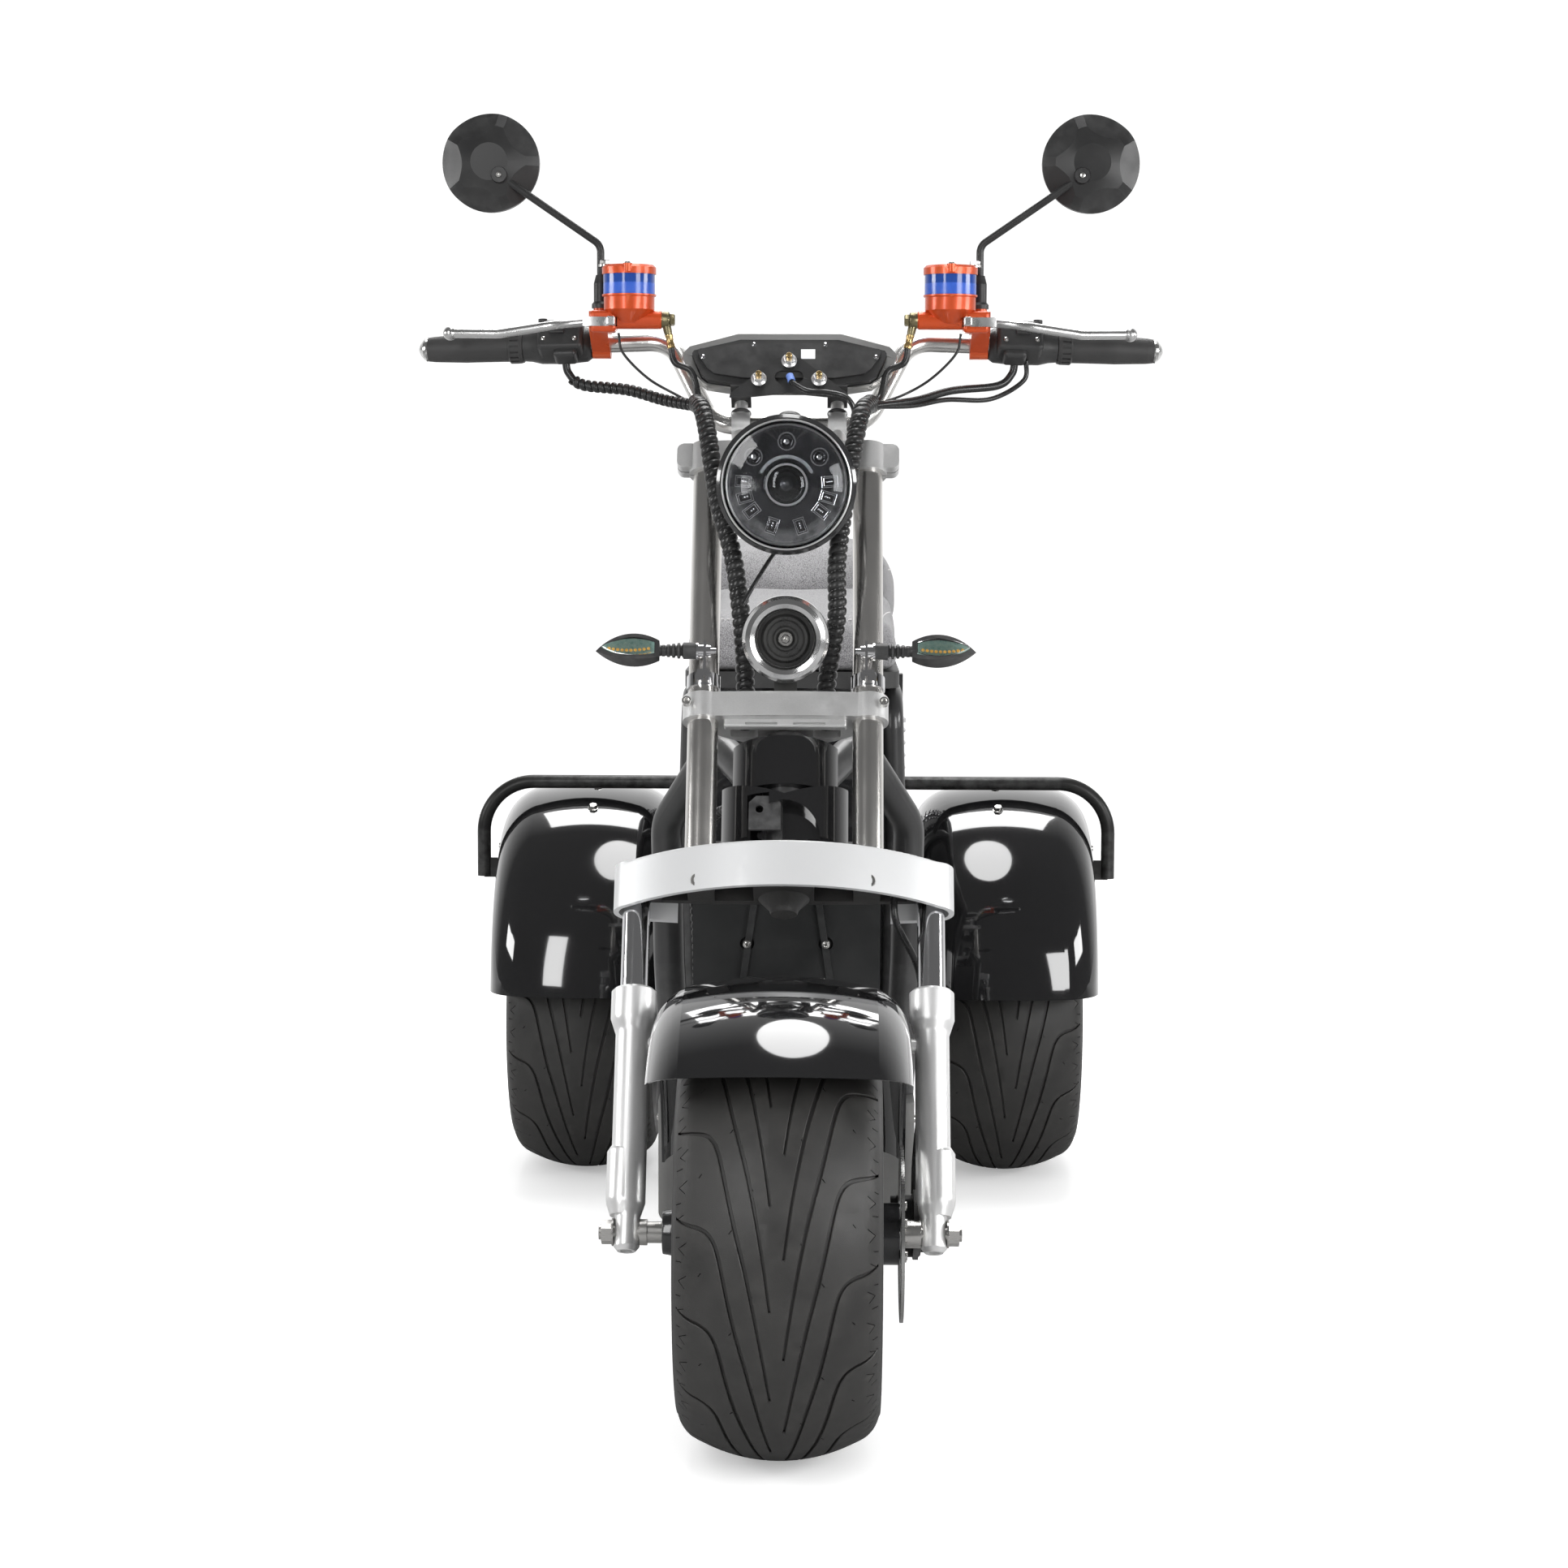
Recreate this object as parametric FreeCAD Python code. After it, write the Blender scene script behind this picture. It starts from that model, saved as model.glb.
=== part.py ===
import FreeCAD, Part
import math
import os
from FreeCAD import Vector

# Three-wheeled electric scooter, one wheel in front and two behind. Millimetres, +Z up.
# The vehicle faces -Y and its left side is +X. While a piece is made, y = 0 is the front axle.
# Forks, lamps and bars are made in fork coordinates: z up the steering axis, y to the rear,
# with the axle at (-FORK_OFFSET, 0).

# Wheels and stance
RIM_D = 304.8
RIM_W = 178.0
TYRE_H = 86.1
TYRE_W = 213.0
WHEELBASE = 1420.0
REAR_TRACK = 634.0
RAKE = 28.5
FORK_OFFSET = 10.0

# Fork
FORK_TUBE_D = 35.0
FORK_TUBE_SPACING = 188.0
FORK_TUBE_AHEAD = 35.0
STANCHION_D = 31.0
STANCHION_SPACING = 329.0
CROWN_Z = 366.0
CROWN_H = 53.0
CROWN_BULGE = 100.0
CROWN_END_R = 26.0
COVER_WALL = 6.0
MID_CLAMP_Z = 588.0
MID_CLAMP_H = 30.0
TOP_CLAMP_Z = 908.0
TOP_CLAMP_H = 36.0
CLAMP_WALL = 6.0
STEM_D = 30.0
LEG_TOP_Z = 274.0
LEG_D = 38.0
COLLAR_D = 50.0
AXLE_D = 16.0
DISC_D = 188.0
DISC_T = 3.5
DISC_X = 128.0
HUB_X_RIGHT = 126.0
FENDER_GAP = 34.0
ARM_Z = 211.0

# Bars and what they carry, fork coordinates where y and z are given
BAR_D = 22.0
BAR_FY = 4.0
BAR_OVER_CLAMP = 54.0
BAR_RISE = 120.0
BAR_BEND_LOW_X = 92.0
BAR_BEND_HIGH_X = 145.0
BAR_HALF = 444.0
GRIP_D = 35.0
GRIP_LENGTH = 118.0
SWITCH_LENGTH = 84.0
RISER_X = 58.0
RISER_W = 22.0
POST_D = 16.0
MIRROR_D = 118.0
MIRROR_X = 363.0
MIRROR_RISE = 216.0
PERCH_X = 230.0
MASTER_X = 193.0
RESERVOIR_D = 65.0

# Lamps and horn, fork coordinates
LAMP_D = 160.0
LAMP_FY = -134.0
LAMP_FZ = 842.0
HORN_D = 99.0
HORN_FY = -76.0
HORN_FZ = 671.0
SIGNAL_FZ = 664.0
SIGNAL_FY = -66.0
SIGNAL_TIP = 217.0
DISPLAY_FY = -34.0
DISPLAY_OVER_BAR = 56.0

# Frame and body
HEAD_TUBE_D = 52.0
HEAD_GAP = 6.0
SIDE_TUBE_D = 38.0
SEAT_TUBE_D = 30.0
WHEEL_TO_FRAME = 183.0
FLOOR_BOTTOM = 147.0
FLOOR_TOP = 296.0
FLOOR_FRONT = 420.0
FLOOR_REAR = 960.0
DECK_T = 8.0
BODY_FRONT = 850.0
BODY_REAR = 1530.0
SEAT_PAN_Z = 770.0
SEAT_PAN_T = 22.0
DRIVER_H = 86.0
PASSENGER_H = 170.0
DRIVER_HALF = 150.0
PASSENGER_HALF = 140.0
SEAT_SPLIT = 1200.0

# Rear end
FENDER_INSET = 7.0
FENDER_HALF = 132.0
FENDER_R = 310.0
FENDER_ABOVE_TYRE = 111.0
FENDER_EDGE_Z = 307.0
FENDER_T = 4.0
FENDER_CORNER = 66.0
FENDER_CROWN_R = 412.0
RAIL_D = 20.0
RAIL_OVER_FENDER = 19.0
RAIL_Y = 1340.0
RAIL_REACH = 35.0
RAIL_DROP = 152.0
REAR_AXLE_D = 60.0
HALF_SHAFT_D = 28.0
REAR_DISC_D = 180.0

TYRE_D = RIM_D + 2 * TYRE_H
TYRE_R = TYRE_D / 2
RIM_R = RIM_D / 2
SIN = math.sin(math.radians(RAKE))
COS = math.cos(math.radians(RAKE))
REAR_X = REAR_TRACK / 2
SEAT_TUBE_X = REAR_X - WHEEL_TO_FRAME
FLOOR_HALF = SEAT_TUBE_X + 21.0
FENDER_X = REAR_X - FENDER_INSET
FENDER_TOP = TYRE_D + FENDER_ABOVE_TYRE
RAIL_TOP = FENDER_TOP + RAIL_OVER_FENDER
RAIL_HALF = FENDER_X + FENDER_HALF + RAIL_REACH
OVERALL_REAR = WHEELBASE + FENDER_R
FRONT_AXLE_Y = -(OVERALL_REAR - TYRE_R) / 2
STANCHION_X = STANCHION_SPACING / 2
TUBE_X = FORK_TUBE_SPACING / 2
TUBE_R = FORK_TUBE_D / 2
CROWN_TOP = CROWN_Z + CROWN_H
TOP_CLAMP_TOP = TOP_CLAMP_Z + TOP_CLAMP_H
BAR_FZ = TOP_CLAMP_TOP + BAR_OVER_CLAMP
DISPLAY_FZ = BAR_FZ + DISPLAY_OVER_BAR
SEAT_BASE = SEAT_PAN_Z + SEAT_PAN_T
DRIVER_TOP = SEAT_BASE + DRIVER_H
FIT = 0.05
GAP = 0.3
X = Vector(1, 0, 0)
Y = Vector(0, 1, 0)
Z = Vector(0, 0, 1)
ORIGIN = Vector(0, 0, 0)


# Shared makers
def box(x0, x1, y0, y1, z0, z1):
    return Part.makeBox(x1 - x0, y1 - y0, z1 - z0, Vector(x0, y0, z0))


def rounded_box(x0, x1, y0, y1, z0, z1, r):
    shape = box(x0, x1, y0, y1, z0, z1)
    return shape.makeFillet(r, shape.Edges)


def round_edges(shape, r, wanted):
    """Fillet the edges whose middle and direction pass the test."""
    edges = []
    for edge in shape.Edges:
        ends = [v.Point for v in edge.Vertexes]
        if len(ends) == 2 and wanted((ends[0] + ends[1]) * 0.5, (ends[1] - ends[0]).normalize()):
            edges.append(edge)
    return shape.makeFillet(r, edges)


def rod(a, b, d):
    """Round bar of diameter d from point a to point b."""
    a = Vector(*a)
    b = Vector(*b)
    return Part.makeCylinder(d / 2, (b - a).Length, a, b - a)


def rod_x(x0, x1, y, z, d):
    return Part.makeCylinder(d / 2, x1 - x0, Vector(x0, y, z), X)


def rod_z(x, y, z0, z1, d):
    return Part.makeCylinder(d / 2, z1 - z0, Vector(x, y, z0), Z)


def fused(shapes):
    result = shapes[0]
    if len(shapes) > 1:
        result = result.multiFuse(shapes[1:])
    return result.removeSplitter()


def mirrored(shape):
    return shape.mirror(ORIGIN, X)


def both_sides(shape):
    return Part.makeCompound([shape, mirrored(shape)])


def raked(shape):
    """Take a shape from fork coordinates to the vehicle."""
    shape = shape.copy()
    shape.rotate(ORIGIN, X, -RAKE)
    shape.translate(Vector(0, FORK_OFFSET * COS, TYRE_R - FORK_OFFSET * SIN))
    return shape


def from_fork(fy, fz):
    """Vehicle (y, z) of a point in fork coordinates."""
    y = FORK_OFFSET * COS + fy * COS + fz * SIN
    z = TYRE_R - FORK_OFFSET * SIN - fy * SIN + fz * COS
    return y, z


def bent_wire(points, radius):
    """Straight runs through the points, joined by tangent arcs."""
    points = [Vector(*p) for p in points]
    edges = []
    start = points[0]
    for before, corner, after in zip(points, points[1:], points[2:]):
        a = (before - corner).normalize()
        b = (after - corner).normalize()
        half = a.getAngle(b) / 2
        reach = radius / math.tan(half)
        enter = corner + a * reach
        leave = corner + b * reach
        middle = corner + (a + b).normalize() * (radius / math.sin(half) - radius)
        if (enter - start).Length > 0.01:
            edges.append(Part.LineSegment(start, enter).toShape())
        edges.append(Part.Arc(enter, middle, leave).toShape())
        start = leave
    edges.append(Part.LineSegment(start, points[-1]).toShape())
    return Part.Wire(edges)


def swept(path, start, towards, d):
    ring = Part.Wire(Part.makeCircle(d / 2, start, towards))
    return path.makePipeShell([ring], True, False)


def bent_rod(points, radius, d):
    """Round bar swept along straight runs and arcs of one radius."""
    start = Vector(*points[0])
    return swept(bent_wire(points, radius), start, Vector(*points[1]) - start, d)


def cable(points, d):
    """Cable tube whose bends are as large as their two runs allow."""
    points = [Vector(*p) for p in points]
    edges = []
    start = points[0]
    for before, corner, after in zip(points, points[1:], points[2:]):
        a = before - corner
        b = after - corner
        shorter = min(a.Length, b.Length)
        a = a.normalize()
        b = b.normalize()
        half = a.getAngle(b) / 2
        reach = 0.45 * shorter
        radius = reach * math.tan(half)
        enter = corner + a * reach
        leave = corner + b * reach
        middle = corner + (a + b).normalize() * (radius / math.sin(half) - radius)
        edges.append(Part.LineSegment(start, enter).toShape())
        edges.append(Part.Arc(enter, middle, leave).toShape())
        start = leave
    edges.append(Part.LineSegment(start, points[-1]).toShape())
    return swept(Part.Wire(edges), points[0], points[1] - points[0], d)


def ring_x(profile, x=0.0, y=0.0, z=0.0):
    """Turn a closed (x, r) profile about a line along X through (y, z)."""
    points = [Vector(px, 0, pr) for px, pr in profile]
    solid = Part.Face(Part.makePolygon(points + points[:1])).revolve(ORIGIN, X, 360)
    solid.translate(Vector(x, y, z))
    return solid


def turned_y(profile, x=0.0, y=0.0, z=0.0):
    """Turn a closed (y, r) profile about a line along Y through (x, z)."""
    points = [Vector(pr, py, 0) for py, pr in profile]
    solid = Part.Face(Part.makePolygon(points + points[:1])).revolve(ORIGIN, Y, 360)
    solid.translate(Vector(x, y, z))
    return solid


def turned_z(profile, x=0.0, y=0.0, z=0.0):
    """Turn a closed (r, z) profile about a line along Z through (x, y)."""
    points = [Vector(pr, 0, pz) for pr, pz in profile]
    solid = Part.Face(Part.makePolygon(points + points[:1])).revolve(ORIGIN, Z, 360)
    solid.translate(Vector(x, y, z))
    return solid


def prism_x(points, x0, x1):
    """Prism along X over a closed outline of (y, z) points."""
    outline = [Vector(x0, y, z) for y, z in points]
    return Part.Face(Part.makePolygon(outline + outline[:1])).extrude(Vector(x1 - x0, 0, 0))


def prism_y(points, y0, y1):
    """Prism along Y over a closed outline of (x, z) points."""
    outline = [Vector(x, y0, z) for x, z in points]
    return Part.Face(Part.makePolygon(outline + outline[:1])).extrude(Vector(0, y1 - y0, 0))


def prism_z(points, z0, z1):
    """Prism along Z over a closed outline of (x, y) points."""
    outline = [Vector(x, y, z0) for x, y in points]
    return Part.Face(Part.makePolygon(outline + outline[:1])).extrude(Vector(0, 0, z1 - z0))


def arc(a, b, c):
    return Part.Arc(Vector(*a), Vector(*b), Vector(*c)).toShape()


def line(a, b):
    return Part.LineSegment(Vector(*a), Vector(*b)).toShape()


# Wheels
def tyre():
    """Wide balloon tyre on the wheel's own centre, axle along X."""
    bead = RIM_W / 2
    shoulder = TYRE_W * 0.385
    drop = TYRE_H * 0.232
    top = TYRE_R - drop
    edges = [arc((-shoulder, 0, top), (0, 0, TYRE_R), (shoulder, 0, top))]
    for side in (-1, 1):
        edges.append(arc((side * shoulder, 0, top), (side * TYRE_W / 2, 0, RIM_R + TYRE_H * 0.4),
                         (side * bead, 0, RIM_R)))
    edges.append(line((-bead, 0, RIM_R), (bead, 0, RIM_R)))
    wire = Part.Wire(Part.__sortEdges__(edges))
    return Part.Face(wire).revolve(ORIGIN, X, 360)


HUB_R = 33.0
RIM_DEPTH = 26.0


def rim(reach_right, reach_left, bore_d):
    """Cast wheel: dropped barrel, hub and five forked spokes; the hub's two reaches are given."""
    half = RIM_W / 2
    lip = RIM_R - 14
    well = RIM_R - RIM_DEPTH
    barrel = ring_x([(-half - 3, lip), (-half - 3, RIM_R - 2), (-half, RIM_R), (half, RIM_R),
                     (half + 3, RIM_R - 2), (half + 3, lip), (half - 8, lip), (half - 26, well),
                     (-half + 26, well), (-half + 8, lip)])
    hub = ring_x([(-reach_right, 0), (-reach_right, HUB_R - 10), (-reach_right + 12, HUB_R - 8),
                  (-44, HUB_R - 4),
                  (-30, HUB_R + 6), (30, HUB_R + 6), (44, HUB_R), (reach_left, HUB_R), (reach_left, 0)])
    fork_r = HUB_R + 24
    outline = [(-15, HUB_R), (15, HUB_R), (17, fork_r - 10), (40, well + 2), (22, well + 4), (0, fork_r),
               (-22, well + 4), (-40, well + 2), (-17, fork_r - 10)]
    spoke = prism_x(outline, -22, 22)
    groove = [(-7, HUB_R + 10), (7, HUB_R + 10), (0, fork_r - 10)]
    spoke = spoke.cut(prism_x(groove, 16, 23)).cut(prism_x(groove, -23, -16))
    spokes = []
    for i in range(5):
        one = spoke.copy()
        one.rotate(ORIGIN, X, 72 * i)
        spokes.append(one)
    wheel = fused([barrel, hub] + spokes)
    return wheel.cut(rod_x(-reach_right - 1, reach_left + 1, 0, 0, bore_d))


def brake_disc(d, hub_d):
    """Floating-look disc: slotted outer ring on six arms round the hub seat, axle along X."""
    r = d / 2
    ring = Part.makeCylinder(r, DISC_T, ORIGIN, X).cut(Part.makeCylinder(r - 27, DISC_T, ORIGIN, X))
    seat = Part.makeCylinder(hub_d / 2 + 12, DISC_T, ORIGIN, X)
    arms = []
    for i in range(6):
        arm = box(0, DISC_T, -7, 7, hub_d / 2 + 8, r - 22)
        arm.rotate(ORIGIN, X, 60 * i)
        arms.append(arm)
    disc = fused([ring, seat] + arms).cut(Part.makeCylinder(hub_d / 2, DISC_T, ORIGIN, X))
    holes = []
    for i in range(24):
        hole = rod_x(0, DISC_T, 0, r - 9 - 9 * (i % 2), 6.0)
        hole.rotate(ORIGIN, X, 15 * i)
        holes.append(hole)
    return disc.cut(Part.makeCompound(holes))


def at_front(shape):
    shape = shape.copy()
    shape.translate(Vector(0, 0, TYRE_R))
    return shape


def at_rear(shape, side):
    shape = shape.copy()
    shape.translate(Vector(side * REAR_X, WHEELBASE, TYRE_R))
    return shape


# Fork
def banana(front, back, end_r, z0, z1):
    """Crown outline: round ends on the stanchions and a front edge that bows forward."""
    x = STANCHION_X
    r = end_r
    y = -FORK_OFFSET
    left = (-x - r * 0.5, y - r * 0.866, 0)
    right = (x + r * 0.5, y - r * 0.866, 0)
    left_back = (-x - r * 0.3, y + r * 0.954, 0)
    right_back = (x + r * 0.3, y + r * 0.954, 0)
    edges = [arc(left, (0, -front, 0), right), arc(right, (x + r, y, 0), right_back),
             arc(right_back, (0, back, 0), left_back), arc(left_back, (-x - r, y, 0), left)]
    solid = Part.Face(Part.Wire(edges)).extrude(Vector(0, 0, z1 - z0))
    solid.translate(Vector(0, 0, z0))
    return solid


def stanchion_bores(z0, z1):
    return both_sides(rod_z(STANCHION_X, -FORK_OFFSET, z0, z1, STANCHION_D))


def tube_bores(z0, z1, grow=0.0):
    return both_sides(rod_z(TUBE_X, -FORK_TUBE_AHEAD, z0, z1, FORK_TUBE_D + 2 * grow))


CROWN_BOLT_X = 93.0
CROWN_BACK = 30.0
CASTING_BACK = 16.0
CASTING_RISE = 20.0


def lower_crown():
    """Black ribbed casting under the cover, with the steering stem standing on it."""
    inner = CROWN_END_R - COVER_WALL
    top = CROWN_TOP - COVER_WALL
    under = CROWN_Z + CASTING_RISE
    body = banana(CROWN_BULGE - COVER_WALL, CASTING_BACK, inner, under, top)
    pockets = []
    for x0, x1 in ((34, 78), (108, 138)):
        pocket = box(x0, x1, -58, 4, under - 1, top - 8)
        pockets += [pocket, mirrored(pocket)]
    body = body.cut(Part.makeCompound(pockets))
    boss = turned_z([(0, CROWN_Z + 2), (15, CROWN_Z + 2), (17, CROWN_Z + 8), (29, under), (29, top),
                     (0, top)])
    bolts = both_sides(rod_z(CROWN_BOLT_X, -48, under - 3, top, 22))
    stem = rod_z(0, 0, CROWN_Z + 2, MID_CLAMP_Z + MID_CLAMP_H, STEM_D)
    body = fused([body, boss] + bolts.Solids)
    body = body.cut(stanchion_bores(CROWN_Z - 5, CROWN_TOP + 5)).cut(tube_bores(CROWN_TOP - 30,
                                                                                CROWN_TOP + 5))
    return fused([body, stem])


def crown_cover():
    """Pale cover that wraps the crown's top, front and ends."""
    outer = banana(CROWN_BULGE, CROWN_BACK, CROWN_END_R, CROWN_Z, CROWN_TOP)
    inner = banana(CROWN_BULGE - COVER_WALL, CASTING_BACK, CROWN_END_R - COVER_WALL, CROWN_Z,
                   CROWN_TOP - COVER_WALL)
    outer = round_edges(outer, 3.0, lambda p,
                        u: p.z > CROWN_TOP - 1 and p.y < -CROWN_END_R / 2 and abs(u.x) > 0.9)
    cover = outer.cut(inner).cut(box(-120, 120, 5, 60, CROWN_Z - 1, CROWN_TOP - COVER_WALL))
    cover = cover.cut(stanchion_bores(CROWN_Z - 5, CROWN_TOP + 5)).cut(tube_bores(CROWN_TOP - 30,
                                                                                  CROWN_TOP + 5))
    return cover.cut(rod_z(0, 0, CROWN_TOP - 20, CROWN_TOP + 10, HEAD_TUBE_D + 10))


def clamp_plan(z0, h, wall, set_back, reach_back):
    """Two rings on the fork tubes, joined by a bar whose front edge stands back from the rings."""
    ring_r = TUBE_R + wall
    y = -FORK_TUBE_AHEAD
    rings = [rod_z(s * TUBE_X, y, z0, z0 + h, 2 * ring_r) for s in (-1, 1)]
    front = y - ring_r + set_back
    edges = [arc((-TUBE_X, front, z0), (0, front - 3, z0), (TUBE_X, front, z0)),
             line((TUBE_X, front, z0), (TUBE_X, y + ring_r - 6, z0)),
             arc((TUBE_X, y + ring_r - 6, z0), (0, reach_back, z0), (-TUBE_X, y + ring_r - 6, z0)),
             line((-TUBE_X, y + ring_r - 6, z0), (-TUBE_X, front, z0))]
    bar = Part.Face(Part.Wire(edges)).extrude(Vector(0, 0, h))
    return fused([bar] + rings)


WINDOW_X = 47.0
CLAMP_RIB_H = 9.0


def middle_clamp():
    """Cast clamp over the head tube, with windows for the looms and a ribbed web underneath."""
    top = MID_CLAMP_Z + MID_CLAMP_H
    under = MID_CLAMP_Z - CLAMP_RIB_H
    body = clamp_plan(MID_CLAMP_Z, MID_CLAMP_H, CLAMP_WALL, 4.0, 30.0)
    web = rounded_box(-70, 70, -46, -34, under, MID_CLAMP_Z + 6, 3.0)
    slots = both_sides(box(9, 46, -48, -42, under + 2, under + 5))
    web = web.cut(slots)
    body = fused([body, web])
    window = rounded_box(WINDOW_X - 15, WINDOW_X + 16, -32, 6, under - 10, top + 10, 6.0)
    body = body.cut(both_sides(window))
    body = body.cut(rod_z(0, 0, under - 1, top + 1, STEM_D))
    return body.cut(tube_bores(MID_CLAMP_Z - 1, top + 1))


EAR_X = 131.0
EAR_HALF_DEPTH = 13.0


def top_clamp():
    """Top clamp with split outer ears for the pinch bolts and a thin flange under them."""
    y = -FORK_TUBE_AHEAD
    body = clamp_plan(TOP_CLAMP_Z, TOP_CLAMP_H, CLAMP_WALL - 1, 3.0, 46.0)
    ear = box(TUBE_X, EAR_X, y - EAR_HALF_DEPTH, y + EAR_HALF_DEPTH, TOP_CLAMP_Z + 4, TOP_CLAMP_TOP)
    ear = round_edges(ear, 9.0, lambda p, u: p.x > EAR_X - 1 and abs(u.y) > 0.9)
    body = fused([body, ear, mirrored(ear)])
    body = body.cut(tube_bores(TOP_CLAMP_Z - 1, TOP_CLAMP_TOP - 5))
    slit = box(TUBE_X, EAR_X + 1, y - 1.5, y + 1.5, TOP_CLAMP_Z - 1, TOP_CLAMP_TOP + 1)
    return body.cut(both_sides(slit))


def fork_tubes():
    """Two polished tubes from the crown to the top clamp."""
    return tube_bores(CROWN_TOP - 30, TOP_CLAMP_TOP - 5)


def stanchions():
    """Two chromed inner tubes from the crown into the lower legs."""
    return stanchion_bores(120, CROWN_TOP)


SWELL_OUT = 5.0
FOOT_D = 28.0
FOOT_Z = -21.0


def lower_leg():
    """Cast lower leg: collar, straight barrel, outward swelling and the narrow axle foot."""
    r = LEG_D / 2
    c = COLLAR_D / 2
    barrel = turned_z([(0, 60), (r, 60), (r, 222), (c, 240), (c, LEG_TOP_Z - 3), (c - 3, LEG_TOP_Z),
                       (0, LEG_TOP_Z)])
    swell = turned_z([(0, 18), (FOOT_D / 2, 18), (r - 1, 30), (r, 36), (r, 88), (r - SWELL_OUT, 96), (0, 96)])
    swell.translate(Vector(SWELL_OUT, 0, 0))
    inner = turned_z([(0, 16), (FOOT_D / 2, 16), (r, 32), (r, 66), (0, 66)])
    foot = turned_z([(0, FOOT_Z), (FOOT_D / 2 - 4, FOOT_Z), (FOOT_D / 2, FOOT_Z + 5), (FOOT_D / 2, 24),
                     (0, 24)])
    foot = foot.cut(rod_z(0, 0, FOOT_Z - 1, FOOT_Z + 6, 13))
    body = fused([barrel, swell, inner, foot])
    body.translate(Vector(STANCHION_X, -FORK_OFFSET, 0))
    body = body.cut(rod_z(STANCHION_X, -FORK_OFFSET, 120, 420, STANCHION_D))
    return body.cut(rod_x(STANCHION_X - 40, STANCHION_X + 40, -FORK_OFFSET, 0, AXLE_D))


FRONT_FENDER_T = 3.0
FRONT_FENDER_R = TYRE_R + FENDER_GAP + FRONT_FENDER_T
FRONT_FENDER_HALF = TYRE_W / 2 + 32
FENDER_FRONT_ANGLE = 48.0
FENDER_REAR_ANGLE = 172.0


def fender_profile(grow):
    """Front mudguard's section as edges from its right edge over the crown to its left edge."""
    r = FRONT_FENDER_R - grow
    edge_x = FRONT_FENDER_HALF - grow
    edge_r = FRONT_FENDER_R - 62
    knee = FRONT_FENDER_HALF - 36
    bend = (knee + 25 - grow * 0.7, 0, r - 33 + grow * 0.3)
    return [arc((-edge_x, 0, edge_r), (-bend[0], 0, bend[2]), (-knee, 0, r - 13)),
            arc((-knee, 0, r - 13), (0, 0, r), (knee, 0, r - 13)),
            arc((knee, 0, r - 13), bend, (edge_x, 0, edge_r))]


def front_fender():
    """Gloss mudguard over the front tyre, its front edge cut level across."""
    edge_r = FRONT_FENDER_R - 62
    outer = FRONT_FENDER_HALF
    inner = outer - FRONT_FENDER_T
    edges = fender_profile(0) + fender_profile(FRONT_FENDER_T)
    edges += [line((-outer, 0, edge_r), (-inner, 0, edge_r)), line((outer, 0, edge_r), (inner, 0, edge_r))]
    face = Part.Face(Part.Wire(Part.__sortEdges__(edges)))
    start = FENDER_FRONT_ANGLE - 22
    face.rotate(ORIGIN, X, 90 - start)
    shell = face.revolve(ORIGIN, X, -(FENDER_REAR_ANGLE - start))
    a = math.radians(FENDER_FRONT_ANGLE)
    lip_y = -FRONT_FENDER_R * math.cos(a)
    lip_z = FRONT_FENDER_R * math.sin(a)
    slope = 0.32
    below = prism_x([(lip_y - 200, lip_z + 200 * slope), (0, lip_z + lip_y * slope), (0, -50), (lip_y - 200,
                                                                                                -50)],
                    -outer - 1, outer + 1)
    shell = shell.cut(below)
    shell.translate(Vector(0, 0, TYRE_R))
    return shell


def fender_arm():
    """Short arm between the left leg and the mudguard."""
    arm = rod_x(FRONT_FENDER_HALF - 30, STANCHION_X, -FORK_OFFSET, ARM_Z, 16)
    arm = arm.cut(rod_z(STANCHION_X, -FORK_OFFSET, ARM_Z - 20, ARM_Z + 20, LEG_D))
    face = Part.Face(Part.Wire(Part.__sortEdges__(
        fender_profile(0) + [line((-FRONT_FENDER_HALF, 0, FRONT_FENDER_R - 62), (-FRONT_FENDER_HALF, 0, 0)),
                             line((-FRONT_FENDER_HALF, 0, 0), (FRONT_FENDER_HALF, 0, 0)),
                             line((FRONT_FENDER_HALF, 0, 0), (FRONT_FENDER_HALF, 0, FRONT_FENDER_R - 62))])))
    drum = face.revolve(ORIGIN, X, 360)
    drum.translate(Vector(0, 0, TYRE_R))
    pieces = raked(arm).cut(drum).Solids
    return max(pieces, key=lambda piece: piece.CenterOfMass.x)


WASHER_T = 8.0


def front_axle():
    """Axle through both legs, with spacers, washers and hexagon end nuts."""
    foot_in = STANCHION_X - FOOT_D / 2
    foot_out = STANCHION_X + FOOT_D / 2
    y = -FORK_OFFSET
    left_start = DISC_X + DISC_T + GAP
    right_start = -HUB_X_RIGHT - GAP
    bar = rod_x(-foot_out - 16, foot_out + 16, y, 0, AXLE_D)
    pieces = [bar, rod_x(left_start, foot_in, y, 0, 30), rod_x(-foot_in + WASHER_T, right_start, y, 0, 23),
              rod_x(-foot_in, -foot_in + WASHER_T, y, 0, 28)]
    points = [(y + 13.5 * math.cos(math.radians(60 * i)),
               13.5 * math.sin(math.radians(60 * i))) for i in range(6)]
    pieces += [prism_x(points, foot_out + 2, foot_out + 13), prism_x(points, -foot_out - 13, -foot_out - 2)]
    pieces += [rod_x(foot_out, foot_out + 2, y, 0, 30), rod_x(-foot_out - 2, -foot_out, y, 0, 30)]
    solid = fused(pieces)
    feet = both_sides(rod_z(STANCHION_X, y, FOOT_Z, 26, FOOT_D))
    return fused([solid.cut(feet), bar])


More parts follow.
